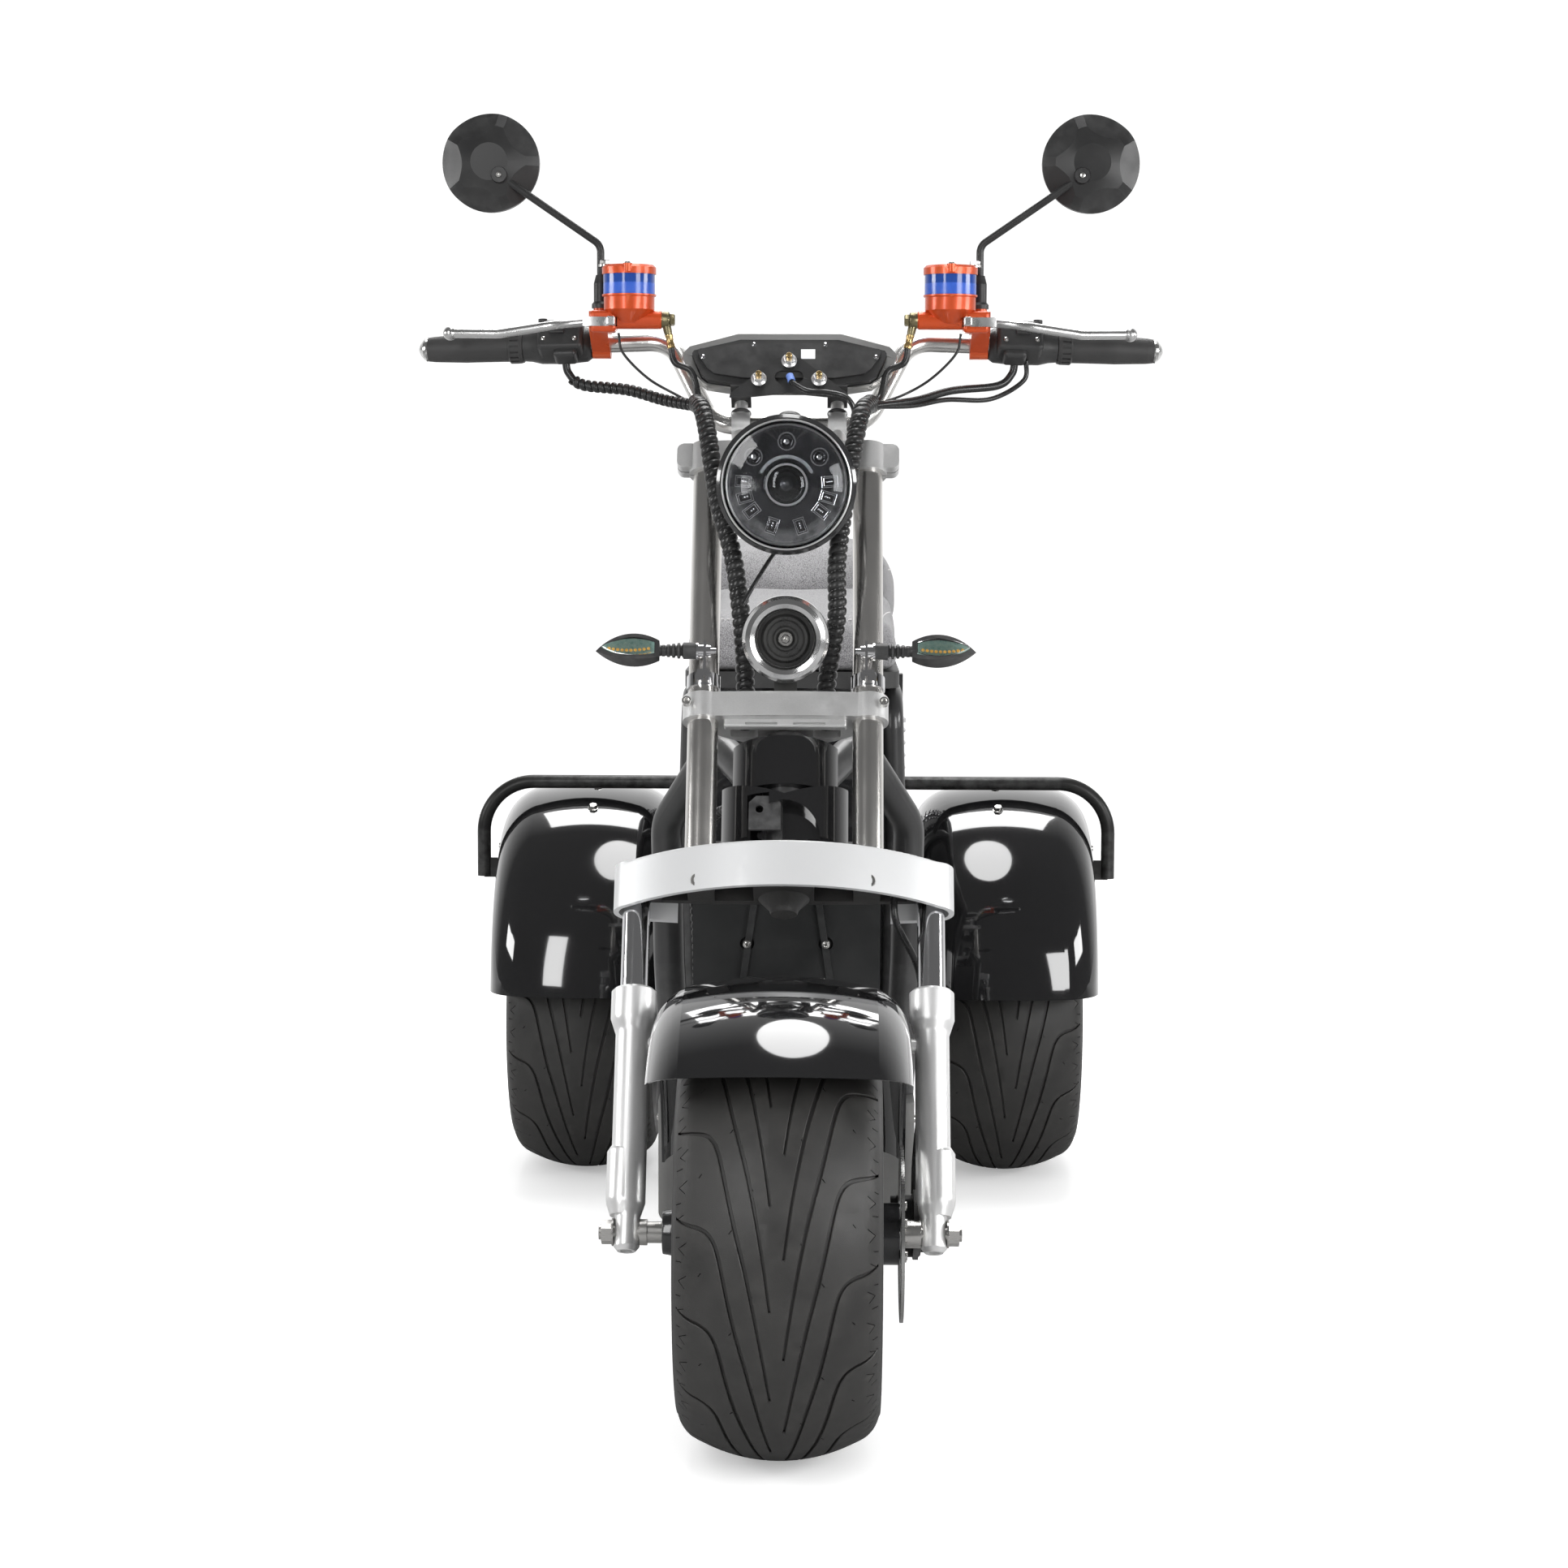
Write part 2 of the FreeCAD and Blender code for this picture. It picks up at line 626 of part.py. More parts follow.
def caliper(x, d):
    """Two-bolt sliding caliper that straddles a disc of diameter d at x, straight behind the axle."""
    r = d / 2 - 8
    body = rounded_box(x - 15, x + DISC_T + 21, r - 22, r + 26, -32, 32, 4.0)
    body = body.cut(box(x - 1.5, x + DISC_T + 1.5, r - 30, r + 14, -33, 33))
    body = body.cut(box(x - 16, x - 1.5, r - 30, r + 30, 14, 34)).cut(box(x - 16, x - 1.5, r - 30, r + 30,
                                                                          -34, -14))
    piston = rod_x(x + DISC_T + 21, x + DISC_T + 29, r, 0, 34)
    pins = [rod_x(x - 8, x + DISC_T + 30, r + 22, s * 24, 14) for s in (-1, 1)]
    return fused([body, piston] + pins)


CALIPER_ANGLE = 8.0


def front_caliper():
    """Left-hand caliper, with the plate that bolts it to the back of the lower leg."""
    body = caliper(DISC_X, DISC_D)
    plate = prism_x([(4, 30), (40, 44), (DISC_D / 2 + 24, 34), (DISC_D / 2 + 24, -34), (60, -34), (20, -14)],
                    DISC_X + DISC_T + 12, DISC_X + DISC_T + 18)
    body = fused([body, plate])
    body.rotate(ORIGIN, X, -CALIPER_ANGLE)
    leg = raked(fused([lower_leg(), rod_x(0, 200, -FORK_OFFSET, 0, 32)]))
    return max(at_front(body).cut(leg).Solids, key=lambda piece: piece.Volume)


# Lamps, horn and signals
LAMP_Y, LAMP_Z = from_fork(LAMP_FY, LAMP_FZ)
LAMP_DEPTH = 66.0
LENS_R = LAMP_D / 2 - 8


def headlight():
    """Round lamp shell with its bezel, open at the front."""
    r = LAMP_D / 2
    profile = [(-14, LENS_R + 0.2), (-14, r - 4), (-10, r), (4, r), (10, r - 3), (36, r - 10), (56, r - 30),
               (LAMP_DEPTH, r - 44), (LAMP_DEPTH, 0), (LAMP_DEPTH - 4, 0), (34, LENS_R - 10), (6, LENS_R - 4),
               (-6, LENS_R - 4), (-6, LENS_R + 0.2)]
    return turned_y(profile, 0, LAMP_Y, LAMP_Z)


def lamp_lens():
    """Clear front glass of the headlight, gently domed."""
    r = LENS_R
    profile = [(-21, 0), (-20, r * 0.4), (-17, r * 0.75), (-12, r), (-6, r), (-6, r - 3), (-13, r * 0.72),
               (-16.5, r * 0.4), (-17.5, 0)]
    return turned_y(profile, 0, LAMP_Y, LAMP_Z)


PROJECTOR_R = 24.6
MODULE_ROW_R = 49.0
ROUND_MODULES = (40, 90, 140)
BAR_MODULES = (4, -17, -37, -71, -109, -143, -163, 176)


def lamp_reflector():
    """Black light plate: projector barrel, crescent lamp, three round and eight oblong modules."""
    back = 6.0
    front = -4.0
    r = LENS_R - 4.2
    plate = turned_y([(front, 0), (front, r), (back, r), (back, 0)])
    barrel = turned_y([(front, PROJECTOR_R - 3), (-12, PROJECTOR_R - 3), (-12, PROJECTOR_R),
                       (front, PROJECTOR_R + 2)])
    bowl = turned_y([(front - 1, 0), (front - 1, PROJECTOR_R - 3), (2, PROJECTOR_R - 8), (3, 0)])
    eye = turned_y([(3, 0), (3, PROJECTOR_R - 8), (-4, PROJECTOR_R - 11), (-9, 7), (-10, 0)])
    crescent = turned_y([(-9, 29), (-9, 34.5), (front, 34.5), (front, 29)])
    shadow = prism_y([(0, 0), (60, 24), (60, -60), (-60, -60), (-60, 24)], -20, 20)
    solids = [barrel, crescent.cut(shadow)]
    pockets = []
    for angle in ROUND_MODULES:
        a = math.radians(angle)
        x, z = MODULE_ROW_R * math.cos(a), MODULE_ROW_R * math.sin(a)
        solids.append(turned_y([(-6, 8.5), (-6, 11), (front, 11), (front, 8.5)], x, 0, z))
        pockets.append(turned_y([(front - 3, 0), (front - 3, 8.5), (2, 4), (2, 0)], x, 0, z))
    for angle in BAR_MODULES:
        rim_box = box(MODULE_ROW_R - 8, MODULE_ROW_R + 9, -7, front, -6, 6)
        pocket = box(MODULE_ROW_R - 6.5, MODULE_ROW_R + 7.5, -8, 1, -4.5, 4.5)
        for piece, group in ((rim_box, solids), (pocket, pockets)):
            piece.rotate(ORIGIN, Y, -angle)
            group.append(piece)
    body = fused([plate] + solids).cut(Part.makeCompound(pockets)).cut(bowl)
    body = fused([body, eye])
    body.translate(Vector(0, LAMP_Y, LAMP_Z))
    return body


CLAMP_FRONT = FORK_TUBE_AHEAD + TUBE_R + CLAMP_WALL


def lamp_bracket():
    """Bent plate from the front of the top clamp to the back of the lamp."""
    face = -CLAMP_FRONT + 5.0
    y, z = LAMP_Y + LAMP_DEPTH, LAMP_Z
    back = (y - FORK_OFFSET * COS) * COS - (z - TYRE_R + FORK_OFFSET * SIN) * SIN
    height = (y - FORK_OFFSET * COS) * SIN + (z - TYRE_R + FORK_OFFSET * SIN) * COS
    plate = box(-20, 20, face - 5, face - 1, height - 26, TOP_CLAMP_TOP - 6)
    foot = box(-20, 20, face - 5, face + 12, TOP_CLAMP_Z + 8, TOP_CLAMP_TOP - 6)
    boss = Part.makeCylinder(15, 40, Vector(0, y, z), Y)
    boss = boss.common(raked(box(-20, 20, back - 60, face - 3, height - 60, height + 60)))
    clamp = raked(top_clamp())
    return fused([raked(fused([plate, foot])), boss]).cut(clamp)


HORN_Y, HORN_Z = from_fork(HORN_FY - 8, HORN_FZ)


def horn():
    """Disc horn: bulging bright ring, ridged dish and its strap from the middle clamp."""
    r = HORN_D / 2
    profile = [(-10, 33), (-15, 35), (-17, 40), (-14, 45.5), (-7, r - 0.6), (0, r), (6, r - 3), (10, r - 10),
               (24, r - 16), (28, 18), (28, 0), (-1, 0), (-1, 8), (-4, 11), (-4, 13), (-1, 15), (-1,
                                                                                                 20), (-4,
                                                                                                       22),
               (-4, 25), (1, 28), (1, 32)]
    body = turned_y(profile, 0, HORN_Y, HORN_Z)
    nut = turned_y([(-12, 0), (-12, 3), (-8, 5), (-1, 6), (-1, 0)], 0, HORN_Y, HORN_Z)
    ring_y = -FORK_TUBE_AHEAD - 15
    strap = raked(box(-13, 13, ring_y, ring_y + 3, MID_CLAMP_Z + MID_CLAMP_H, HORN_FZ + 26))
    boss = Part.makeCylinder(9, 40, Vector(0, HORN_Y + 20, HORN_Z), Y)
    boss = boss.common(raked(box(-20, 20, ring_y - 60, ring_y + 2, HORN_FZ - 60, HORN_FZ + 60)))
    return fused([body, nut, strap, boss])


LEAF_X = TUBE_X + 50.0
LEAF_HALF_H = 16.0
RIB_COUNT = 4


def leaf(shrink):
    """Signal's leaf seen from the front, between its root and its tip, as a long prism."""
    x0, x1, h = LEAF_X + shrink * 1.5, SIGNAL_TIP - shrink * 1.8, LEAF_HALF_H - shrink
    middle = x0 + (x1 - x0) * 0.45
    root = h * 0.62
    wire = Part.Wire([arc((x0, 0, root), (middle, 0, h), (x1, 0, -1)), arc((x1, 0, -1), (middle, 0, -h + 1),
                                                                           (x0, 0, -root)),
                      line((x0, 0, -root), (x0, 0, root))])
    return Part.Face(wire).extrude(Vector(0, 60, 0))


def signal():
    """Left flasher: leaf housing with a window recess, and its ribbed rubber stem."""
    body = leaf(0)
    body.translate(Vector(0, -30, 0))
    middle = (LEAF_X + SIGNAL_TIP) / 2
    plan = Part.Wire([arc((LEAF_X, -6, 0), (middle, -11, 0), (SIGNAL_TIP, 0, 0)),
                      arc((SIGNAL_TIP, 0, 0), (middle, 11, 0), (LEAF_X, 6, 0)), line((LEAF_X, 6, 0),
                                                                                     (LEAF_X, -6, 0))])
    plan = Part.Face(plan).extrude(Vector(0, 0, 60))
    plan.translate(Vector(0, 0, -30))
    body = body.common(plan)
    window = leaf(4.5)
    window.translate(Vector(0, -68, 0))
    body = body.cut(window)
    base = TUBE_X + TUBE_R - 12
    profile = [(base, 0), (base, 9.5), (base + 17, 9.5), (base + 19, 6)]
    x = base + 19
    pitch = (LEAF_X - 2 - x) / RIB_COUNT
    for i in range(RIB_COUNT):
        r = 9.0 - 0.8 * i
        profile += [(x + pitch * 0.2, 6), (x + pitch * 0.35, r), (x + pitch * 0.8, r), (x + pitch * 0.95, 6)]
        x += pitch
    profile += [(LEAF_X + 3, 7), (LEAF_X + 3, 0)]
    body = fused([body, ring_x(profile)])
    body.translate(Vector(0, SIGNAL_FY, SIGNAL_FZ))
    return body


def signal_clamp():
    """Band round the fork tube with the strap and stud that hold a flasher."""
    y = -FORK_TUBE_AHEAD
    z = SIGNAL_FZ - 28
    base = TUBE_X + TUBE_R - 12
    band = rod_z(TUBE_X, y, z - 8, z + 8, FORK_TUBE_D + 4).cut(tube_bores(z - 9, z + 9))
    ears = box(TUBE_X - 7, TUBE_X + 7, y - TUBE_R - 10, y - TUBE_R, z - 7, z + 7).cut(tube_bores(z - 9,
                                                                                                 z + 9))
    strap = box(base - 9, base - 6, SIGNAL_FY - 9, y - TUBE_R - 2, z - 7, SIGNAL_FZ + 9)
    link = box(TUBE_X - 7, base - 6, y - TUBE_R - 10, y - TUBE_R - 7, z - 7, z + 7)
    stud = rod_x(base - 20, base, SIGNAL_FY, SIGNAL_FZ, 7)
    nut = rod_x(base - 14, base - 9, SIGNAL_FY, SIGNAL_FZ, 14)
    collar = rod_x(base - 6, base, SIGNAL_FY, SIGNAL_FZ, 16)
    return fused([band, ears, strap, link, stud, nut, collar]).cut(tube_bores(z - 60, z + 60))


# Handlebar and what it carries
BAR_PULL = 20.0
BAR_SWEEP = 6.0
BAR_BEND_R = 42.0
BAR_TOP_FZ = BAR_FZ + BAR_RISE
CAP_LENGTH = 12.0


def bar_points(side):
    """Half of the bar's route in fork coordinates, from the middle outward."""
    return [(side * BAR_BEND_LOW_X, BAR_FY, BAR_FZ), (side * BAR_BEND_HIGH_X, BAR_FY + BAR_SWEEP, BAR_TOP_FZ),
            (side * BAR_HALF, BAR_FY + BAR_SWEEP + BAR_PULL, BAR_TOP_FZ)]


def handlebar():
    """One bent bar from grip to grip."""
    return raked(bent_rod(bar_points(-1)[::-1] + bar_points(1), BAR_BEND_R, BAR_D))


def bar_at(x):
    """Vehicle (y, z) of the grip straight's centre line at x."""
    share = (x - BAR_BEND_HIGH_X) / (BAR_HALF - BAR_BEND_HIGH_X)
    return from_fork(BAR_FY + BAR_SWEEP + BAR_PULL * share, BAR_TOP_FZ)


def on_grip(shape):
    """Take a shape made along +X from x = 0 to the bar's outer straight, 0 at the bar's tip."""
    shape = shape.copy()
    turn = math.degrees(math.atan2(BAR_PULL, BAR_HALF - BAR_BEND_HIGH_X))
    shape.rotate(ORIGIN, Z, turn)
    shape.translate(Vector(BAR_HALF, BAR_FY + BAR_SWEEP + BAR_PULL, BAR_TOP_FZ))
    return raked(shape)


def grip():
    """Rubber grip with its ribbed collar, on the bar's end."""
    r = GRIP_D / 2
    hole = BAR_D / 2
    length = GRIP_LENGTH
    profile = [(-length, hole), (-length, r + 2), (-length + 4, r + 3), (-length + 16, r + 3), (-length + 18,
                                                                                                r + 0.5),
               (-length * 0.4, r), (-8, r - 2), (0, r - 3), (0, hole)]
    body = ring_x(profile)
    notches = []
    for i in range(18):
        notch = box(-length + 5, -length + 15, -1.2, 1.2, r + 1.6, r + 6)
        notch.rotate(ORIGIN, X, 20 * i)
        notches.append(notch)
    return body.cut(Part.makeCompound(notches))


def bar_end():
    """Rounded metal cap that closes the bar's end."""
    r = GRIP_D / 2 - 3
    c = CAP_LENGTH
    return ring_x([(0, 0), (0, r), (2, r + 0.5), (c * 0.45, r - 2), (c * 0.8, r - 7), (c, r - 12.5), (c, 0)])


def switch_housing():
    """Two-part switch box beside the grip, with its rocker block and cable boss."""
    end = -GRIP_LENGTH - GAP
    start = end - SWITCH_LENGTH
    body = ring_x([(start, 0), (start, 17), (start + 6, 21), (start + 30, 23), (end - 22, 22),
                   (end - 10, 19), (end, 18),
                   (end, 0)])
    box_part = rounded_box(start + 8, end - 20, -31, 6, -21, 20, 6.0)
    rocker = rounded_box(start + 30, start + 48, -34, -26, -2, 14, 2.0)
    boss = rounded_box(start + 16, start + 44, -26, 0, -29, -12, 5.0)
    button = rod((start + 58, -22, 12), (start + 58, -26, 22), 11)
    body = fused([body, box_part, rocker, boss, button])
    return body.cut(rod_x(start - 1, end + 1, 0, 0, BAR_D))


NECK_FZ = BAR_FZ + 14
POST_TOP = BAR_FZ + 33


def risers():
    """Risers with an eye round the bar, a groove above it and a slimmer post for the instrument."""
    r = RISER_W / 2
    post = turned_z([(0, TOP_CLAMP_TOP), (r + 3, TOP_CLAMP_TOP), (r + 3, TOP_CLAMP_TOP + 5),
                     (r, TOP_CLAMP_TOP + 9), (r, NECK_FZ - 1), (r - 1, NECK_FZ), (r - 2, NECK_FZ),
                     (r - 2, NECK_FZ + 4), (r - 1, NECK_FZ + 4), (POST_D / 2, NECK_FZ + 6),
                     (POST_D / 2, POST_TOP), (0, POST_TOP)], RISER_X, BAR_FY)
    eye = rod_x(RISER_X - r, RISER_X + r, BAR_FY, BAR_FZ, BAR_D + 10)
    return raked(both_sides(fused([post, eye]))).cut(handlebar())


BARREL_H = 78.0


def ignition_barrel():
    """Key barrel on the top clamp, behind the bar."""
    y = 33.0
    r = 17.0
    top = TOP_CLAMP_TOP + BARREL_H
    body = turned_z([(0, TOP_CLAMP_TOP), (r, TOP_CLAMP_TOP), (r, top), (r - 3, top + 5), (8, top + 7),
                     (8, top + 3),
                     (0, top + 3)], 0, y)
    return raked(body)


MASTER_AHEAD = 56.0
CYLINDER_D = 22.0
CUP_H = 22.0
WINDOW_H = 24.0
CAP_H = 11.0


def master_place():
    """Vehicle y and z of the master cylinder's axis, in front of and above the bar."""
    y, z = bar_at(MASTER_X)
    return y - MASTER_AHEAD, z + BAR_D / 2 + 14


def brake_master():
    """Left master cylinder: perch round the bar, cylinder, round cup and its cap."""
    y, z = master_place()
    bar_y, bar_z = bar_at(PERCH_X)
    r = RESERVOIR_D / 2
    cup_z = z + 8
    cup = turned_z([(0, cup_z - 12), (12, cup_z - 12), (r - 6, cup_z), (r - 2, cup_z + 4),
                    (r - 2, cup_z + CUP_H - 3),
                    (r, cup_z + CUP_H - 2), (r, cup_z + CUP_H), (0, cup_z + CUP_H)], MASTER_X, y)
    top = cup_z + CUP_H + WINDOW_H
    cap = turned_z([(0, top), (r, top), (r, top + CAP_H - 3), (r - 3, top + CAP_H), (0, top + CAP_H)],
                   MASTER_X, y)
    lugs = [rod((MASTER_X, y + s * (r - 4), top + 2), (MASTER_X, y + s * (r - 4), top + CAP_H + 0.5), 11)
            for s in (-1, 1)]
    cylinder = ring_x([(MASTER_X - 41, 0), (MASTER_X - 41, 8), (MASTER_X - 38, CYLINDER_D / 2),
                       (PERCH_X - 6, CYLINDER_D / 2), (PERCH_X - 6, 0)], 0, y, z)
    pivot = rounded_box(PERCH_X - 22, PERCH_X + 10, y - 14, y + 18, z - 15, z + 11, 5.0)
    arm = prism_x([(y - 8, z + 10), (y - 8, z - 12), (bar_y - 14, bar_z - 10), (bar_y, bar_z - 17),
                   (bar_y + 4, bar_z + 17), (bar_y - 20, bar_z + 26)], PERCH_X - 11, PERCH_X + 11)
    ring = rod_x(PERCH_X - 11, PERCH_X + 11, bar_y, bar_z, BAR_D + 14)
    boss = rod((PERCH_X, bar_y - 20, bar_z + 8), (PERCH_X, bar_y - 20, bar_z + 42), 18)
    body = fused([cup, cylinder, pivot, arm, ring, boss]).cut(lever_slot()).cut(handlebar())
    return Part.makeCompound([max(body.Solids, key=lambda piece: piece.Volume), fused([cap] + lugs)])


def lever_slot():
    """Slot in the master's pivot block that takes the lever's root."""
    y, z = master_place()
    return box(PERCH_X - 23, PERCH_X + 20, y - 20, y + 8, z - 8, z + 3)


def reservoir():
    """Round window of the left master cylinder between cup and cap."""
    y, z = master_place()
    r = RESERVOIR_D / 2 - 1.5
    low = z + 8 + CUP_H
    return turned_z([(0, low), (r, low), (r, low + WINDOW_H), (0, low + WINDOW_H)], MASTER_X, y)


LEVER_TIP_X = 417.0


def brake_lever():
    """Left lever: flat root block in the slot, curved blade and ball end."""
    y, z = master_place()
    z -= 2.5
    end_y, end_z = bar_at(LEVER_TIP_X)
    tip = (LEVER_TIP_X - 7, end_y - 62, end_z + 16)
    points = [(PERCH_X + 12, y - 4, z), (PERCH_X + 44, y - 22, z - 4), (PERCH_X + 120, end_y - 74,
                                                                        end_z + 15), tip]
    blade = bent_rod(points, 60, 11)
    blade = fused([blade, Part.makeSphere(8.5, Vector(*tip))])
    root = prism_z([(PERCH_X - 20, y - 13), (PERCH_X + 6, y - 16), (PERCH_X + 18, y - 14), (PERCH_X + 14,
                                                                                            y + 8),
                    (PERCH_X - 20, y + 8)], z - 5.5, z + 5.5)
    tail = rounded_box(PERCH_X - 22, PERCH_X - 12, y - 34, y - 6, z - 5.5, z + 5.5, 2.0)
    return fused([blade, root, tail])


def mirror():
    """Left mirror: boot on the perch, bent stem and faceted round shell."""
    bar_y, bar_z = bar_at(PERCH_X)
    y = bar_y - 20
    low = bar_z + 42
    z = bar_z + MIRROR_RISE
    boot = turned_z([(0, low), (11, low), (11, low + 5), (8.5, low + 8), (8.5, low + 30), (6, low + 40),
                     (0, low + 40)],
                    PERCH_X, y)
    stem = bent_rod([(PERCH_X, y, low + 20), (PERCH_X, y, low + 76), (MIRROR_X - 12, y - 14, z - 16)], 16, 9)
    r = MIRROR_D / 2
    shell = turned_y([(-21, 0), (-21, r * 0.38), (-13, r * 0.74), (-3, r), (9, r), (9, r - 3), (6, r - 3),
                      (6, 0)],
                     MIRROR_X, y, z)
    glass = turned_y([(6, 0), (6, r - 3), (8, r - 3), (8, 0)], MIRROR_X, y, z)
    facets = []
    for i in range(5):
        cut = box(-60, 60, -60, 0, 0, 60)
        cut.rotate(ORIGIN, X, -38)
        cut.translate(Vector(0, -17, r * 0.56))
        cut.rotate(ORIGIN, Y, 72 * i + 20)
        cut.translate(Vector(MIRROR_X, y, z))
        facets.append(cut)
    shell = shell.cut(Part.makeCompound(facets))
    socket = turned_y([(-24, 0), (-24, 9), (-10, 13), (-10, 0)], MIRROR_X - 12, y, z - 16)
    return fused([shell, glass, stem, boot, socket])


DISPLAY_HALF = 117.0
DISPLAY_DEEP = 16.0
RIM_DEEP = 6.0
BRACKET_T = 3.0


def display_outline(shrink, y):
    """Instrument housing seen from the front, in fork coordinates round its tips' height."""
    half = DISPLAY_HALF - shrink
    points = [(half, 4), (half - 2, -3), (half - 12, -26 + shrink), (half - 20, -33 + shrink), (half - 56,
                                                                                                -39 + shrink)]
    right = [Vector(x, y, z) for x, z in [(half - 58, 23 - shrink), (half - 2, 8)] + points]
    left = [Vector(-v.x, v.y, v.z) for v in reversed(right)]
    loop = right + left
    return Part.Face(Part.makePolygon(loop + loop[:1]))


def display():
    """Instrument: stepped back shell and the pale rim round its face."""
    shell = display_outline(0, 4).extrude(Vector(0, DISPLAY_DEEP, 0))
    step = display_outline(7, 0).extrude(Vector(0, 4, 0))
    rim_ring = display_outline(-2, 4 + DISPLAY_DEEP).extrude(Vector(0, RIM_DEEP, 0))
    screen = display_outline(8, DISPLAY_DEEP + 6).extrude(Vector(0, RIM_DEEP, 0))
    body = fused([shell, step, rim_ring]).cut(screen)
    body.translate(Vector(0, DISPLAY_FY, DISPLAY_FZ + 20))
    return raked(body)


def display_bracket():
    """Black plate on the riser posts that holds the instrument by three nuts."""
    y = DISPLAY_FY - BRACKET_T
    low = NECK_FZ + 2
    outline = [(-71, low), (-44, low + 1), (0, low + 6), (44, low + 1), (71, low), (70, low + 5),
               (13, low + 54),
               (-13, low + 54), (-70, low + 5)]
    plate = prism_y(outline, y, DISPLAY_FY)
    plate = plate.cut(rounded_box(-17, 17, y - 9, y + 12, low + 19, low + 36, 8.0))
    nut_places = ((0, low + 44), (-36, low + 19), (36, low + 19))
    nuts = [rod((x, y - 5, z), (x, y, z), 13) for x, z in nut_places]
    studs = [rod((x, y - 9, z), (x, y - 5, z), 7) for x, z in nut_places]
    ledge = both_sides(box(RISER_X - 12, RISER_X + 12, y, BAR_FY + POST_D / 2 + 2, POST_TOP - 3, POST_TOP))
    return raked(fused([plate] + ledge.Solids + nuts + studs)).cut(display()).cut(risers())


# Frame
HEAD_Z0 = CROWN_TOP + HEAD_GAP
HEAD_Z1 = MID_CLAMP_Z - HEAD_GAP


def head_tube():
    """Head tube round the steering stem, with the plate of the steering lock on its front."""
    tube = rod_z(0, 0, HEAD_Z0, HEAD_Z1, HEAD_TUBE_D)
    lock = prism_y([(-40, HEAD_Z0 + 29), (-4, HEAD_Z0 + 29), (-4, HEAD_Z0 + 62), (-12, HEAD_Z0 + 70),
                    (-32, HEAD_Z0 + 70), (-40, HEAD_Z0 + 62)], -42, -38)
    web = box(-20, -14, -39, 0, HEAD_Z0 + 34, HEAD_Z0 + 60)
    tube = fused([tube, lock, web]).cut(rod((-28, -50, HEAD_Z0 + 54), (-28, -30, HEAD_Z0 + 54), 9))
    return raked(tube.cut(rod_z(0, 0, HEAD_Z0, HEAD_Z1, STEM_D + 2 * FIT)))


SIDE_POINTS = [(12, 262, 672), (84, 412, 732), (SEAT_TUBE_X + 13, 472, 630), (SEAT_TUBE_X + 10, 480, 460),
               (SEAT_TUBE_X + 2, 490, FLOOR_TOP - 10)]
SEAT_TUBE_Z = SEAT_PAN_Z - SEAT_TUBE_D / 2
SEAT_POINTS = [(SEAT_TUBE_X, BODY_FRONT + 50, FLOOR_TOP), (SEAT_TUBE_X + 6, BODY_FRONT + 55, 560),
               (SEAT_TUBE_X, BODY_FRONT + 50, SEAT_TUBE_Z), (SEAT_TUBE_X, BODY_REAR - 30, SEAT_TUBE_Z)]
SHOCK_X = SEAT_TUBE_X + 14.0
SHOCK_Y = WHEELBASE + 20.0
SHOCK_TOP = 715.0
SHOCK_EYE_D = 26.0


def frame_side(side):
    """One side of the frame: bowed front tube, seat tube, rear post, mudguard stay and damper mount."""
    front = bent_rod(SIDE_POINTS, 46, SIDE_TUBE_D)
    core = raked(rod_z(0, 0, HEAD_Z0 - 100, HEAD_Z0 + 300, HEAD_TUBE_D))
    middle = box(-200, 0, -200, 2000, 0, 1000)
    front = front.cut(core).cut(middle)
    seat = bent_rod(SEAT_POINTS, 40, SEAT_TUBE_D)
    post = rod((SEAT_TUBE_X, RAIL_Y, SEAT_TUBE_Z), (SEAT_TUBE_X, RAIL_Y, FENDER_EDGE_Z + 120), SEAT_TUBE_D)
    stay = rod_x(SEAT_TUBE_X, FENDER_X - FENDER_HALF + 30, RAIL_Y, TYRE_D + 23, 16)
    stay = stay.cut(fender_solid(1, 0))
    mount = box(SHOCK_X - 13, SHOCK_X + 13, SHOCK_Y - 15, SHOCK_Y + 15, SHOCK_TOP, SEAT_TUBE_Z)
    mount = fused([mount, box(SEAT_TUBE_X, SHOCK_X, SHOCK_Y - 15, SHOCK_Y + 15, SEAT_TUBE_Z - 8,
                              SEAT_TUBE_Z)])
    rear = fused([seat, post, stay, mount])
    tub = box(-FLOOR_HALF, FLOOR_HALF, FLOOR_FRONT, FLOOR_REAR, FLOOR_BOTTOM, FLOOR_TOP)
    pieces = Part.makeCompound([front.cut(tub), rear.cut(tub)])
    return pieces if side > 0 else mirrored(pieces)


SHROUD_TOP = MID_CLAMP_Z - CLAMP_RIB_H - HEAD_GAP
SHROUD_BOTTOM = HEAD_Z0 + 24.0


